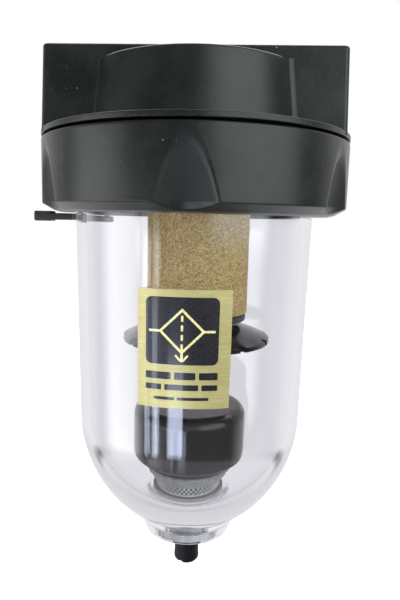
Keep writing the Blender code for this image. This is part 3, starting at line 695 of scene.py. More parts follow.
def flute_radius(angle, z):
    """Distance out to the scooped flutes' surface at an angle and a height."""
    best = np.full(np.broadcast(angle, z).shape, 90.0)
    slope = 0.17
    centre = 45.0 + 16.21 + slope * (z + 25.5)
    tilt = math.atan(slope)
    a, b = 16.0 / math.cos(tilt), 16.0
    for i in range(6):
        d = (angle - math.radians(-90 + 60 * i) + math.pi) % TAU - math.pi
        c, s = np.cos(d), np.sin(d)
        # (r c - centre)^2 / a^2 + (r s)^2 / b^2 = 1, nearer root
        qa = c * c / a ** 2 + s * s / b ** 2
        qb = -2 * centre * c / a ** 2
        qc = centre ** 2 / a ** 2 - 1
        disc = qb * qb - 4 * qa * qc
        root = np.where((disc > 0) & (c > 0), (-qb - np.sqrt(np.maximum(disc, 0))) / (2 * qa), 90.0)
        best = np.minimum(best, root)
    return best


rows = []                                       # (radius or None for the fluted wall, height)
for k in range(7):                              # rounded top edge
    a = math.radians(90 - 15 * k)
    rows.append((44.4 + 0.6 * math.cos(a), -23.4 + 0.6 * math.sin(a), True))
rows += [(45.0, z, True) for z in np.linspace(-23.8, -40.2, 62)]
chamfer = rounded([(45.0, -40.2), (45.0, -40.8, 0.4), (41.6, -42.7, 1.2), (40.0, -43.1, 0.6), (39.4, -43.1)],
                  0.4, 6, False)
chamfer = split(chamfer[1:], 0.3, False)
rows += [(r, z, True) for r, z in chamfer]
rows += [(r, z, False) for r, z in rounded(
    [(39.5, -43.1), (39.1, -43.1, 0.0), (36.2, -43.1, 0.5), (36.2, -40.4, 0.3), (39.4, -40.4, 0.2),
     (39.4, -36.4, 0.2), (40.9, -36.4, 0.2), (40.9, -36.0)], 0.2, 4, False)[1:]]
rows += [(40.9, z, False) for z in np.arange(-35.8, -24.2, 0.24)]
rows += [(r, z, False) for r, z in rounded([(40.9, -24.2), (40.9, -24.1, 0.0), (42.1, -23.7, 0.1),
                                           (42.1, -22.8, 0.2), (43.0, -22.8)], 0.2, 3, False)]
R = np.repeat(np.array([p[0] for p in rows])[:, None], RING_COLS, axis=1)
Z = np.repeat(np.array([p[1] for p in rows])[:, None], RING_COLS, axis=1)
T = np.repeat(theta[None, :], len(rows), axis=0)
fluted = np.repeat(np.array([p[2] for p in rows])[:, None], RING_COLS, axis=1)
R = np.where(fluted, smin(R, flute_radius(T, Z), 0.25), R)
bore = (np.abs(R - 40.9) < 0.01) & ~fluted & (Z < -23.7) & (Z > -36.1)
R = np.where(bore, R + 1.2 * helix_height(T, Z, -33.9, 3.2, THREAD_PITCH, 1.5, 0.85), R)
ring = grid("clamp_ring_fluted", R, Z, theta, closed=True)
LEVER_PIVOT = polar(39.9, 150.0)
bm = bmesh.new()
rod(bm, 1.65, (*LEVER_PIVOT[:2], -44.0), (*LEVER_PIVOT[:2], -41.2), 32)
solid_op(ring, from_bm("cutter", bm), "DIFFERENCE")
resharp(ring, 38)
place(ring, RING_PAINT, "ring", ["clamp_ring"])


# ================================================================ lock lever

px, py, _ = LEVER_PIVOT
LEVER_Z = (-45.5, -43.5)
outline = [polar(42.9, 150.0 + 31.0 * i / 24) for i in range(25)]
outline += [(-47.7, -0.4), (-48.1, -0.9), (-48.1, -5.6), (-47.7, -6.0)]
outline += [polar(37.0, 188.6 - 38.6 * i / 24) for i in range(25)]
for i in range(1, 16):
    a = math.radians(150.0 - 180.0 + 180.0 * i / 16)
    outline.append((px + 2.95 * math.cos(a), py + 2.95 * math.sin(a), 0))
bm = bmesh.new()
low = [bm.verts.new((p[0] * MM, p[1] * MM, LEVER_Z[0] * MM)) for p in outline]
face = bm.faces.new(low)
made = bmesh.ops.extrude_face_region(bm, geom=[face])
for vert in [v for v in made["geom"] if isinstance(v, bmesh.types.BMVert)]:
    vert.co.z = LEVER_Z[1] * MM
bmesh.ops.recalc_face_normals(bm, faces=bm.faces)
flat = [e for e in bm.edges if abs(e.verts[0].co.z - e.verts[1].co.z) < 1e-6]
bmesh.ops.bevel(bm, geom=flat, offset=0.28 * MM, segments=3, profile=0.5, affect="EDGES")
lever = from_bm("lock_lever_arm", bm)
bm = bmesh.new()                               # the thumb tab's thicker end
for vert in bmesh.ops.create_cube(bm, size=1.0)["verts"]:
    lo, hi = (-48.09, -5.8, -45.9), (-42.9, -0.6, -42.9)
    vert.co = [(lo[i] + (hi[i] - lo[i]) * (vert.co[i] + 0.5)) * MM for i in range(3)]
bmesh.ops.bevel(bm, geom=bm.edges[:], offset=0.45 * MM, segments=4, profile=0.5, affect="EDGES")
solid_op(lever, from_bm("tab", bm), "UNION")
eye = lathe("cutter", [(0.0, -43.0), (1.75, -43.0), (1.75, -44.4), (2.65, -45.55), (2.65, -46.4), (0.0, -46.4)],
            48, 0.0, centre=(px, py))
solid_op(lever, eye, "DIFFERENCE")
resharp(lever, 35)
place(lever, LEVER_PLASTIC, "lever", ["lock_lever"])
screw = lathe("lever_screw_slotted", [(0.0, -41.5), (1.1, -41.5), (1.45, -41.9, 0.1), (1.45, -44.5, 0.1),
                                      (2.25, -45.4, 0.1), (2.25, -45.6, 0.06), (0.0, -45.6)],
              64, 0.1, 4, centre=(px, py))
bm = bmesh.new()
for vert in bmesh.ops.create_cube(bm, size=1.0)["verts"]:
    x, y = vert.co.x * 6.0, vert.co.y * 0.6
    a = math.radians(35)
    vert.co = ((px + x * math.cos(a) - y * math.sin(a)) * MM,
               (py + x * math.sin(a) + y * math.cos(a)) * MM, (-45.75 + vert.co.z * 1.1) * MM)
solid_op(screw, from_bm("cutter", bm), "DIFFERENCE")
resharp(screw, 35)
place(screw, ZINC, "ring", ["lever_screw"])


# ================================================================ bowl

DOME_Z, DOME_DEPTH, DOME_POWER = -105.7, 37.0, 1.08
LIP_R, FOOT_R, WALL = 35.6, 34.6, 3.0


def dome(radius, depth, r_end, steps):
    last = math.acos(r_end / radius)
    return [(radius * math.cos(last * i / steps),
             DOME_Z - depth * math.sin(last * i / steps) ** DOME_POWER)
            for i in range(1, steps + 1)]


outer = [(36.2, -26.6, 0.5), (36.2, -29.4, 0.2), (34.3, -29.4, 0.3), (34.3, -32.4, 0.3), (36.2, -32.4, 0.2),
         (36.2, -36.5, 0.4), (38.9, -36.5, 0.3), (38.9, -40.0, 0.4), (35.75, -40.0, 0.7), (LIP_R, -43.1, 0)]
for k in range(1, 9):
    outer.append((LIP_R + (FOOT_R - LIP_R) * k / 8, -43.1 + (DOME_Z + 43.1) * k / 8, 0))
outer += [(*p, 0) for p in dome(FOOT_R, DOME_DEPTH, 15.8, 36)]
outer += [(15.2, -140.8, 0.6), (13.9, -144.5, 0.3), (12.9, -145.2, 0.2)]
inner = [(8.9, -145.2, 0.3), (8.9, -141.9, 0.3), (5.6, -141.9, 0.2), (5.6, -136.1, 0.2), (12.7, -136.1, 0.7)]
inner += [(*p, 0) for p in dome(FOOT_R - WALL, DOME_DEPTH - 5.5, 12.7, 34)[::-1]]
for k in range(9):
    inner.append((FOOT_R - WALL + (LIP_R - FOOT_R) * k / 8, DOME_Z + (-43.1 - DOME_Z) * k / 8, 0))
inner.append((32.7, -26.6, 0.5))
bowl = lathe("bowl_clear", outer + inner, 192, 0.3, 4, closed=True)
place(bowl, CLEAR, "bowl", ["bowl"], weighted=False)
seal = lathe("bowl_seal_ring", [(35.5 + 1.1 * math.cos(a), -30.9 + 1.1 * math.sin(a), 0)
                                for a in (TAU * i / 20 for i in range(20))], 144)
place(seal, RUBBER, "bowl", ["bowl_seal"])


# ================================================================ label

LABEL_AZ, LABEL_HALF, LABEL_TOP, LABEL_LOW = -90.5, 19.7, -61.8, -92.7


def wall_radius(z):
    return LIP_R + (FOOT_R - LIP_R) * (z + 43.1) / (DOME_Z + 43.1)


ARC = math.radians(LABEL_HALF) * wall_radius(-77.0)          # half width along the arc, mm


def onto_bowl(s, z, gap):
    """A point s millimetres along the arc from the label's middle."""
    a = math.radians(LABEL_AZ) + s / wall_radius(-77.0)
    r = wall_radius(z) + gap
    return (r * math.cos(a), r * math.sin(a), z)


corner, heights = 0.25, []
for k in range(9):
    heights.append(LABEL_TOP - corner * (1 - math.cos(math.radians(90) * k / 8)))
heights += list(np.linspace(LABEL_TOP - corner, LABEL_LOW + corner, 22)[1:-1])
heights += [LABEL_LOW + corner * (1 - math.cos(math.radians(90) * k / 8)) for k in range(8, -1, -1)]
cols = 56
verts, faces = [], []
for gap in (0.12, 0.36):
    for z in heights:
        near = min(LABEL_TOP - z, z - LABEL_LOW)
        cutback = corner - math.sqrt(max(0.0, corner ** 2 - (corner - min(near, corner)) ** 2))
        half = ARC - cutback
        verts += [onto_bowl(half * (2 * j / cols - 1), z, gap) for j in range(cols + 1)]
rows_n, w = len(heights), cols + 1
layer = rows_n * w
for i in range(rows_n - 1):
    for j in range(cols):
        a = i * w + j
        faces.append((a, a + 1, a + w + 1, a + w))
        a += layer
        faces.append((a, a + w, a + w + 1, a + 1))
for i in range(rows_n - 1):
    for j in (0, cols):
        a = i * w + j
        quad = (a, a + w, a + w + layer, a + layer)
        faces.append(quad if j == 0 else quad[::-1])
for j in range(cols):
    for i in (0, rows_n - 1):
        a = i * w + j
        quad = (a, a + layer, a + 1 + layer, a + 1)
        faces.append(quad if i == 0 else quad[::-1])
label = mesh_object("label_foil", verts, faces, 50)
place(label, FOIL, "bowl", ["label"], weighted=False)


def printed(name, shapes, low, high, material):
    """Flat shapes in (s, z) laid round the bowl as a thin film."""
    bm = bmesh.new()
    for shape in shapes:
        face = bm.faces.new([bm.verts.new((s, z, 0)) for s, z in shape])
        if face.normal.z < 0:
            face.normal_flip()
    bm.normal_update()
    for face in bm.faces:
        if face.normal.z < 0:
            face.normal_flip()
    for k in range(-12, 13):
        bmesh.ops.bisect_plane(bm, geom=bm.verts[:] + bm.edges[:] + bm.faces[:],
                               plane_co=(k * 1.0, 0, 0), plane_no=(1, 0, 0))
    made = bmesh.ops.extrude_face_region(bm, geom=bm.faces[:])
    top = {v for v in made["geom"] if isinstance(v, bmesh.types.BMVert)}
    for vert in bm.verts:
        x, y, z = onto_bowl(vert.co.x, vert.co.y, high if vert in top else low)
        vert.co = (x * MM, y * MM, z * MM)
    obj = from_bm(name, bm, 40)
    place(obj, material, "bowl", (), weighted=False)
    return obj


def soft_box(s0, s1, z0, z1, r, steps=6):
    made = []
    for cx, cz, a0 in ((s1 - r, z1 - r, 0), (s0 + r, z1 - r, 90), (s0 + r, z0 + r, 180), (s1 - r, z0 + r, 270)):
        for k in range(steps + 1):
            a = math.radians(a0 + 90 * k / steps)
            made.append((cx + r * math.cos(a), cz + r * math.sin(a)))
    return made


def bar(p, q, width):
    """A straight line of a given width, as a four-sided shape."""
    p, q = np.array(p, float), np.array(q, float)
    d = (q - p) / np.linalg.norm(q - p)
    n = np.array((-d[1], d[0])) * width / 2
    return [tuple(p + n), tuple(p - n), tuple(q - n), tuple(q + n)]


# The label's art is a plain pneumatic symbol for a filter with a drain, on a dark panel,
# over plain rules. It isn't lettering or a mark.
MID_S, MID_Z = -0.5, -72.4
panel = soft_box(MID_S - 9.3, MID_S + 9.3, MID_Z - 8.7, MID_Z + 8.7, 1.6)
rules = []
for z, height, spans in ((-84.05, 1.9, ((-9.8, -3.2), (-2.3, 3.1), (4.0, 8.8))),
                         (-87.1, 1.5, ((-9.8, -5.6), (-4.8, 3.9), (4.7, 8.8))),
                         (-90.1, 0.8, ((-7.6, -2.2), (-1.5, 6.6)))):
    rules += [soft_box(a, b, z - height / 2, z + height / 2, 0.25, 3) for a, b in spans]
printed("label_print_dark", [panel] + rules, 0.345, 0.395, INK)
D, W = 5.9, 0.62
tips = [(MID_S + D, MID_Z), (MID_S, MID_Z + D), (MID_S - D, MID_Z), (MID_S, MID_Z - D)]
symbol = []
for i in range(4):                              # the diamond's sides, mitred
    a, b = np.array(tips[i]), np.array(tips[(i + 1) % 4])
    c = np.array((MID_S, MID_Z))
    k = 1 - W * math.sqrt(2) / D
    symbol.append([tuple(a), tuple(b), tuple(c + (b - c) * k), tuple(c + (a - c) * k)])
symbol += [bar((MID_S + D - 0.1, MID_Z), (MID_S + 8.4, MID_Z), W),
           bar((MID_S - 8.4, MID_Z), (MID_S - D + 0.1, MID_Z), W),
           bar((MID_S, MID_Z - D + 0.1), (MID_S, MID_Z - 7.9), W)]
for k in range(4):                              # the dashed element line
    z = MID_Z + 4.05 - 2.45 * k
    symbol.append(bar((MID_S, z), (MID_S, z - 1.5), W * 0.9))
symbol += [bar((MID_S - 1.6, MID_Z - 6.15), (MID_S - 0.35, MID_Z - 7.6), W * 0.8),
           bar((MID_S + 1.6, MID_Z - 6.15), (MID_S + 0.35, MID_Z - 7.6), W * 0.8)]
printed("label_print_light", symbol, 0.385, 0.42, INK_GOLD)


# ================================================================ element stack

sleeve = lathe("deflector_vanes", [(17.0, -24.8), (18.3, -24.8), (18.3, -35.0), (17.0, -35.0)], 128, 0.25, 4,
               centre=STACK)
for i in range(12):
    a = math.radians(30 * i + 15)
    radial = np.array((math.cos(a), math.sin(a), 0.0))
    across = np.array((-math.sin(a), math.cos(a), 0.0))
    along = across * math.cos(math.radians(40)) + np.array((0, 0, math.sin(math.radians(40))))
    thick = np.cross(radial, along)
    bm = bmesh.new()
    corners = [bm.verts.new((radial * r + along * s + thick * t + np.array((*STACK, -30.2))) * MM)
               for r in (17.6, 30.4) for s in (-4.6, 4.6) for t in (-0.55, 0.55)]
    for q in ((0, 1, 3, 2), (4, 6, 7, 5), (0, 4, 5, 1), (2, 3, 7, 6), (0, 2, 6, 4), (1, 5, 7, 3)):
        bm.faces.new([corners[k] for k in q])
    bmesh.ops.recalc_face_normals(bm, faces=bm.faces)
    outer_edges = [e for e in bm.edges
                   if min((v.co.to_2d().length for v in e.verts)) > 25 * MM
                   or abs((e.verts[0].co - e.verts[1].co).dot(Vector(radial))) > 5 * MM]
    bmesh.ops.bevel(bm, geom=outer_edges, offset=0.3 * MM, segments=3, profile=0.5, affect="EDGES")
    solid_op(sleeve, from_bm("vane", bm), "UNION")
resharp(sleeve, 35)
place(sleeve, GREY, "head", ["deflector"])

place(lathe("gasket_upper", [(9.4, -27.4), (15.2, -27.4), (15.2, -29.1), (9.4, -29.1)], 96, 0.35, 4, centre=STACK),
      RUBBER, "head", ["upper_gasket"])

rng = np.random.default_rng(11)


def grainy(r, z, theta):
    """Stands single grains proud of the element's skin."""
    skin = (np.abs(r - 15.7) < 0.01) | (np.abs(r - 10.2) < 0.01)
    push = rng.normal(0.0, 0.055, r.shape) - 0.05
    return np.where(skin, r + np.where(r > 12, push, -push), r), z


place(lathe("element_sintered", [(10.2, -29.5), (15.7, -29.5), (15.7, -72.5), (10.2, -72.5)],
            240, 0.3, 3, step=0.36, shape=grainy, centre=STACK),
      BRONZE, "head", ["filter_element"], weighted=False)
place(lathe("gasket_lower", [(3.1, -72.8), (15.3, -72.8), (15.3, -74.9), (3.1, -74.9)], 96, 0.4, 4, centre=STACK),
      RUBBER, "head", ["lower_gasket"])


disc = lathe("baffle_disc", [(2.9, -75.2), (12.6, -75.2, 0.4), (12.6, -76.3, 0.5), (14.6, -77.1, 1.0),
                             (20.6, -79.1, 3.0), (22.9, -80.1, 0.2), (22.9, -81.5, 0.2), (20.6, -81.3, 0.3),
                             (14.4, -79.2, 1.0), (6.6, -79.2, 0.5), (6.6, -82.6, 0.3), (2.9, -82.6, 0.3)],
             240, 0.3, 5, centre=STACK)
bm = bmesh.new()
for k in range(12):                             # twelve square notches in the rim
    a = math.radians(7 + 30 * k)
    bmesh.ops.create_cube(bm, size=1.0, matrix=Matrix.Translation(
        ((STACK[0] + 23.2 * math.cos(a)) * MM, (STACK[1] + 23.2 * math.sin(a)) * MM, -80.8 * MM))
        @ Matrix.Rotation(a, 4, "Z") @ Matrix.Diagonal((3.2 * MM, 1.9 * MM, 5.0 * MM, 1.0)))
solid_op(disc, from_bm("cutter", bm), "DIFFERENCE")
resharp(disc, 35)
place(disc, DISC_BLACK, "head", ["baffle"])


def stud_thread(r, z, theta):
    on = (np.abs(r - 2.5) < 0.01) & (z < -78.0)
    wave = np.abs(((z / 0.8 - theta / TAU) % 1.0) - 0.5) * 2
    return np.where(on, r - 0.32 * (1 - wave), r), z


stud_points = [(0.0, -18.9), (2.0, -18.9, 0.2), (2.5, -19.5, 0.1), (2.5, -78.0, 0)]
stud_points += [(2.5, z, 0) for z in np.arange(-78.1, -87.5, -0.1)]
stud_points += [(2.5, -87.6, 0), (2.0, -88.1, 0.1), (0.0, -88.1)]
place(lathe("element_stud_thread", stud_points, 48, 0.1, 3, shape=stud_thread, centre=STACK),
      ZINC, "head", ["element_stud"])

bm = bmesh.new()
rod(bm, 4.7, (*STACK, -86.4), (*STACK, -82.9), 6)
upright = [e for e in bm.edges if abs(e.verts[0].co.z - e.verts[1].co.z) > 1 * MM]
bmesh.ops.bevel(bm, geom=upright, offset=0.15 * MM, segments=3, profile=0.5, affect="EDGES")
nut = from_bm("stack_nut_hex", bm)
cone = lathe("cone", [(0.0, -82.4), (3.2, -82.4), (5.2, -83.55), (5.2, -85.75), (3.2, -86.9), (0.0, -86.9)], 72, 0.0,
             centre=STACK)
solid_op(nut, cone, "INTERSECT")
bm = bmesh.new()
rod(bm, 2.62, (*STACK, -88.0), (*STACK, -81.0), 48)
solid_op(nut, from_bm("cutter", bm), "DIFFERENCE")
resharp(nut, 25)
place(nut, ZINC, "head", ["stack_nut"])


# ================================================================ float drain

def collar_lugs(r, z, theta):
    """Shallow grip scallops round the drain body's collar."""
    on = (r > 13.3) & (z < -123.7)
    wave = np.clip(np.cos(theta * 24) * 1.6, -1, 1)
    return np.where(on, r - 0.16 * (1 - wave), r), z


drain = lathe("drain_body_grey", [
    (7.0, -123.5), (13.8, -123.5, 0.25), (14.2, -124.0, 0.2), (13.9, -125.4, 0.3), (12.9, -125.9, 0.3),
    (12.5, -127.7, 0.25), (11.4, -128.0, 0.2), (9.2, -128.0, 0.15), (9.2, -132.7, 0.15), (12.1, -132.7, 0.25),
    (12.1, -134.2, 0.25), (5.25, -134.2, 0.2), (5.25, -144.95, 0.15), (4.35, -144.95, 0.15),
    (4.35, -133.8, 0.1), (6.4, -133.8, 0.1), (6.4, -130.4, 0.1), (7.0, -130.4, 0.1)],
    240, 0.2, 4, step=1.0, shape=collar_lugs)
for i in range(4):
    bm = bmesh.new()
    a = 45 + 90 * i
    rod(bm, 0.9, polar(3.0, a, -129.3), polar(9.9, a, -129.3), 24)
    solid_op(drain, from_bm("cutter", bm), "DIFFERENCE")
resharp(drain, 38)
place(drain, GREY, "bowl", ["drain_body"])

# Woven strainer: a dark inner sleeve wrapped with two sets of slanting strands and end bands.
bm = bmesh.new()
SCREEN_LOW, SCREEN_HIGH = -132.3, -128.4
strands = 44
for lean in (-1, 1):
    for i in range(strands):
        rings = []
        for k in range(7):
            share = k / 6
            a = TAU * i / strands + lean * share * 0.30
            z = SCREEN_LOW + (SCREEN_HIGH - SCREEN_LOW) * share
            weave = 0.10 * math.sin(math.pi * (k + (0 if lean > 0 else 1)))
            r = 10.45 + 0.1 * lean + weave
            centre = np.array((r * math.cos(a), r * math.sin(a), z))
            u = np.array((math.cos(a), math.sin(a), 0.0))
            v = np.array((-math.sin(a), math.cos(a), 0.0))
            rings.append([bm.verts.new((centre + 0.2 * (u * math.cos(t) + v * math.sin(t))) * MM)
                          for t in (TAU * m / 6 for m in range(6))])
        for a_ring, b_ring in zip(rings, rings[1:]):
            for m in range(6):
                bm.faces.new((a_ring[m], a_ring[(m + 1) % 6], b_ring[(m + 1) % 6], b_ring[m]))
        bm.faces.new(rings[0][::-1])
        bm.faces.new(rings[-1])
screen = from_bm("drain_screen_weave", bm)
place(screen, GREY_SCREEN, "bowl", ["drain_screen"], weighted=False)
place(lathe("drain_screen_sleeve", [(9.55, -128.3), (10.05, -128.3), (10.05, -132.4), (9.55, -132.4)], 96, 0.1, 2),
      DARK_PLASTIC, "bowl", ["drain_screen"])
for tag, z in (("top", -128.55), ("low", -132.15)):
    place(lathe("drain_screen_band_" + tag, [(10.1, z + 0.25), (10.9, z + 0.25), (10.9, z - 0.25), (10.1, z - 0.25)],
                96, 0.12, 3), GREY_SCREEN, "bowl", ["drain_screen"])

place(lathe("drain_gasket_flat", [(5.6, -134.5), (12.1, -134.5), (12.1, -135.8), (5.6, -135.8)], 96, 0.3, 4),
      PALE, "bowl", ["drain_gasket"])


def nut_grips(r, z, theta):
    on = r > 8.0
    return np.where(on, r - 0.35 * np.clip(np.cos(theta * 12) * 2.0 - 0.6, 0, 1), r), z


place(lathe("drain_nut_ring", [(5.45, -142.2), (8.3, -142.2), (8.3, -144.9), (5.45, -144.9)], 144, 0.2, 3,
            shape=nut_grips), PALE, "bowl", ["drain_nut"])
place(lathe("guide_tube_grey", [(2.2, -107.4), (4.6, -107.4, 0.3), (5.1, -107.9, 0.3), (5.1, -121.2, 0.8),
                                (13.0, -122.9, 0.12), (13.0, -123.2, 0.1), (3.4, -123.2), (3.4, -112.2),
                                (2.2, -112.2)], 96, 0.15, 4),
      GREY, "bowl", ["guide_tube"])
place(lathe("pilot_nozzle_brass", [(0.7, -106.6), (1.3, -106.6), (1.9, -107.4), (1.9, -112.6), (0.7, -112.6)],
            48, 0.1, 3), BRASS, "bowl", ["pilot_nozzle"])

float_outline = [(0.0, -102.6), (14.7, -102.6, 0)]
for i in range(1, 15):
    a = math.radians(90 - 90 * i / 14)
    float_outline.append((14.7 + 3.2 * math.cos(a), -105.8 + 3.2 * math.sin(a), 0))
float_outline += [(17.9, -119.9, 0.9), (14.9, -122.1, 0.4), (14.2, -122.5, 0.12), (14.2, -122.3, 0.0),
                  (13.4, -122.1, 0.3), (6.4, -120.0, 0.3), (6.1, -119.4, 0.2), (6.1, -104.6, 0.3), (0.0, -104.6)]
place(lathe("float_moulded", float_outline, 144, 0.2, 5), FLOAT_BLACK, "float", ["float"])
place(lathe("pilot_seat_rubber", [(0.0, -104.9), (2.4, -104.9), (2.4, -106.0), (0.0, -106.0)], 48, 0.2, 3),
      RUBBER, "float", ["pilot_seat"])
place(lathe("piston_moulded", [(0.0, -124.2), (6.4, -124.2), (6.4, -124.9), (5.4, -124.9), (5.4, -125.9),
                               (6.4, -125.9), (6.4, -126.6), (1.8, -126.6), (1.8, -134.0), (1.4, -134.6),
                               (0.0, -134.6)], 64, 0.12, 3), DARK_PLASTIC, "piston", ["piston"])
place(lathe("piston_seal_ring", [(6.15 + 0.42 * math.cos(a), -125.4 + 0.38 * math.sin(a), 0)
                                 for a in (TAU * i / 12 for i in range(12))], 64),
      RUBBER, "piston", ["piston_seal"])
place(lathe("spring_seat_disc", [(3.0, -129.4), (6.7, -129.4), (6.7, -130.1), (3.0, -130.1)], 64, 0.12, 3),
      ZINC, "bowl", ["spring_seat"])
bm = bmesh.new()
wire, coil_r, turns, steps = 0.3, 4.4, 3.0, 40
rings = []
for i in range(int(turns * steps) + 1):
    a = TAU * i / steps
    z = -129.0 + 1.75 * i / (turns * steps)
    rings.append([bm.verts.new(((coil_r + wire * math.cos(t)) * math.cos(a) * MM,
                                (coil_r + wire * math.cos(t)) * math.sin(a) * MM,
                                (z + wire * 0.9 * math.sin(t)) * MM))
                  for t in (TAU * k / 10 for k in range(10))])
for low, high in zip(rings, rings[1:]):
    for k in range(10):
        bm.faces.new((low[k], low[(k + 1) % 10], high[(k + 1) % 10], high[k]))
bm.faces.new(rings[0][::-1])
bm.faces.new(rings[-1])
coil = place(from_bm("piston_spring_coil", bm), SPRING, "bowl", ["piston_spring"], weighted=False)
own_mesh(coil)


def stem_ribs(r, z, theta):
    """Fine upright ribs on the stem, and a nick in its end."""
    on = (r > 3.2) & (z < -145.0)
    rib = 0.03 * np.clip(np.cos(theta * 30) * 1.5, -1, 1)
    r = np.where(on, r + rib - 0.02, r)
    nick = (np.abs((theta - math.radians(238) + math.pi) % TAU - math.pi) < math.radians(14)) & (z < -156.7)
    return np.where(nick & (r > 2.6), r - 0.4, r), z


place(lathe("drain_stem_barb", [
    (2.3, -132.4), (6.0, -132.4, 0.2), (6.0, -133.5, 0.2), (4.0, -133.5, 0.2), (4.0, -146.4, 0.0),
    (4.0, -155.4, 0.4), (4.14, -156.2, 0.2), (4.08, -157.2, 0.3), (3.4, -158.0, 0.25), (2.9, -158.2, 0.15),
    (1.4, -158.2, 0.1), (1.4, -138.3, 0.2), (2.3, -138.3, 0.2)], 240, 0.15, 4, step=0.8, shape=stem_ribs),
      STEM_BLACK, "stem", ["drain_stem"])


# ================================================================ stage, light and camera

bm = bmesh.new()
made = bmesh.ops.create_grid(bm, x_segments=1, y_segments=1, size=12.0)
floor = from_bm("floor", bm)
floor.location.z = -0.198
material, tree = start("floor_pale")
tone = noise(tree, make(tree, "ShaderNodeTexCoord").outputs["Object"], 0.6, 2.0)
diffuse = make(tree, "ShaderNodeBsdfDiffuse",
               {"Color": mix(tree, tone, (0.90, 0.90, 0.905), (0.93, 0.93, 0.93))}).outputs[0]
glow = make(tree, "ShaderNodeEmission", {"Color": (1, 1, 1, 1), "Strength": 0.30}).outputs[0]
end(tree, make(tree, "ShaderNodeAddShader", {0: diffuse, 1: glow}).outputs[0])
floor.data.materials.append(material)
floor.visible_glossy = False
floor.visible_transmission = False

world = bpy.data.worlds.new("studio")
bpy.context.scene.world = world
world.use_nodes = True
tree = world.node_tree
tree.nodes.clear()
way = make(tree, "ShaderNodeTexCoord").outputs["Generated"]
xyz = make(tree, "ShaderNodeSeparateXYZ", {"Vector": way})
# azimuth from the camera's side: 0 at -Y, +90 at +X, -90 at -X, 180 behind
azimuth = calc(tree, "MULTIPLY", calc(tree, "ARCTAN2", xyz.outputs[0],
                                      calc(tree, "MULTIPLY", xyz.outputs[1], -1.0)), 180 / math.pi)
elevation = calc(tree, "MULTIPLY", calc(tree, "ARCSINE", xyz.outputs[2]), 180 / math.pi)


def panel_light(low, high, soft, el_low, el_high, el_soft=8.0):
    a = ramp(tree, azimuth, low - soft, low + soft)
    b = ramp(tree, azimuth, high - soft, high + soft)
    c = ramp(tree, elevation, el_low - el_soft, el_low + el_soft)
    d = ramp(tree, elevation, el_high - el_soft, el_high + el_soft)
    return calc(tree, "MULTIPLY", calc(tree, "SUBTRACT", a, b), calc(tree, "SUBTRACT", c, d))


level = mix(tree, 1.0, (0.045, 0.046, 0.047), (0.045, 0.046, 0.047))
away = calc(tree, "ABSOLUTE", azimuth)
level = mix(tree, ramp(tree, away, 92.0, 120.0), level, (0.90, 0.905, 0.92))
for spec, colour in (((-89.0, -51.0, 12.0, -34, 13, 7.0), (2.75, 2.78, 2.78)),    # left window
                     ((15.5, 76.0, 4.5, -3.5, 44, 3.5), (2.2, 2.46, 2.43)),       # right wall
                     ((-12.0, 8.0, 4.0, -16, 38, 5.0), (0.008, 0.008, 0.009)),    # dark doorway between
                     ((-45.5, -39.0, 0.9, -14, -3, 2.5), (4.9, 4.95, 4.9)),       # narrow panes, dim above
                     ((-34.5, -29.0, 0.9, -14, -3, 2.5), (3.0, 3.05, 3.15)),
                     ((-42.5, -39.5, 0.7, -30, -12, 3.0), (5.4, 6.0, 7.5)),       # and bright below
                     ((-34.5, -29.5, 0.8, -30, -12, 3.0), (5.4, 6.0, 7.5)),
                     ((-19.0, -4.5, 1.0, -30, -17, 3.0), (5.2, 5.8, 7.3))):
    level = mix(tree, panel_light(*spec), level, colour)
level = mix(tree, ramp(tree, elevation, 48.0, 74.0), level, (0.50, 0.505, 0.51))
high = calc(tree, "MULTIPLY", ramp(tree, away, 112.0, 140.0),
            calc(tree, "SUBTRACT", ramp(tree, elevation, 36.0, 42.0), ramp(tree, elevation, 56.0, 62.0)))
level = mix(tree, high, level, (3.2, 3.25, 3.3))
path = make(tree, "ShaderNodeLightPath")
# Rays turned back inside the thick dome see a dark band low down and the pale table under it.
within = calc(tree, "MULTIPLY", calc(tree, "GREATER_THAN", path.outputs["Transmission Depth"], 0.5),
              calc(tree, "GREATER_THAN", path.outputs["Glossy Depth"], 0.5))
low = mix(tree, ramp(tree, elevation, -36.0, -30.0), (0.10, 0.096, 0.10), level)
low = mix(tree, ramp(tree, elevation, -41.0, -36.0), (0.84, 0.84, 0.86), low)
front = calc(tree, "MULTIPLY", calc(tree, "SUBTRACT", 1.0, ramp(tree, away, 18.0, 30.0)),
             ramp(tree, elevation, -13.0, -5.0))
low = mix(tree, front, low, (0.62, 0.62, 0.64))
level = mix(tree, within, level, low)
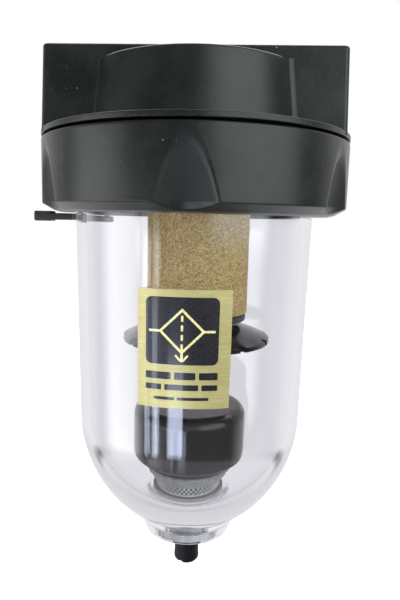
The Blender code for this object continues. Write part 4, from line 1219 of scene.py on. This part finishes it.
# Straight through the clear bowl the backdrop shows; what it and the black parts reflect is the room.
through = calc(tree, "MULTIPLY", calc(tree, "GREATER_THAN", path.outputs["Transmission Depth"], 0.5),
               calc(tree, "LESS_THAN", calc(tree, "ADD", path.outputs["Glossy Depth"],
                                            path.outputs["Diffuse Depth"]), 0.5))
drop = mix(tree, ramp(tree, elevation, -64.0, -36.0), (0.72, 0.72, 0.74), (0.885, 0.885, 0.905))
level = mix(tree, through, level, drop)
level = mix(tree, path.outputs["Is Camera Ray"], level, (1.0, 1.0, 1.0))
make(tree, "ShaderNodeOutputWorld", {"Surface": make(
    tree, "ShaderNodeBackground", {"Color": level, "Strength": 1.0}).outputs[0]})


def soft_light(name, where, size, power, colour=(1, 1, 1)):
    data = bpy.data.lights.new(name, "AREA")
    data.size = size
    data.energy = power
    data.color = colour
    obj = bpy.data.objects.new(name, data)
    bpy.context.scene.collection.objects.link(obj)
    obj.location = where
    aim = Vector((0, 0, -0.08)) - Vector(where)
    obj.rotation_mode = "QUATERNION"
    obj.rotation_quaternion = aim.to_track_quat("-Z", "Y")
    obj.visible_glossy = False
    obj.visible_camera = False
    obj.visible_transmission = False
    return obj


soft_light("fill_front", (-0.25, -0.85, 0.10), 0.7, 4.4)
soft_light("fill_right", (0.75, -0.45, 0.15), 0.6, 2.4)
soft_light("fill_back", (0.1, 0.85, 0.25), 0.8, 3.0)
soft_light("fill_top", (0.0, 0.0, 1.1), 1.2, 5.0)

scene = bpy.context.scene
scene.view_settings.view_transform = "Standard"
scene.view_settings.look = "None"
camera_data = bpy.data.cameras.new("camera")
camera_data.sensor_width = 36.0
camera_data.lens = 31.86
camera_data.clip_start, camera_data.clip_end = 0.005, 60.0
camera_data.shift_x = 7.9 / 600
camera = bpy.data.objects.new("camera", camera_data)
scene.collection.objects.link(camera)
yaw, pitch, roll = math.radians(2.5), math.radians(8.56), math.radians(1.3)
distance = 0.1658
camera.matrix_world = (Matrix.Translation((distance * math.sin(yaw), -distance * math.cos(yaw), -0.0454))
                       @ Matrix.Rotation(yaw, 4, "Z") @ Matrix.Rotation(math.pi / 2 - pitch, 4, "X")
                       @ Matrix.Rotation(roll, 4, "Z"))
scene.camera = camera

bpy.context.view_layer.update()
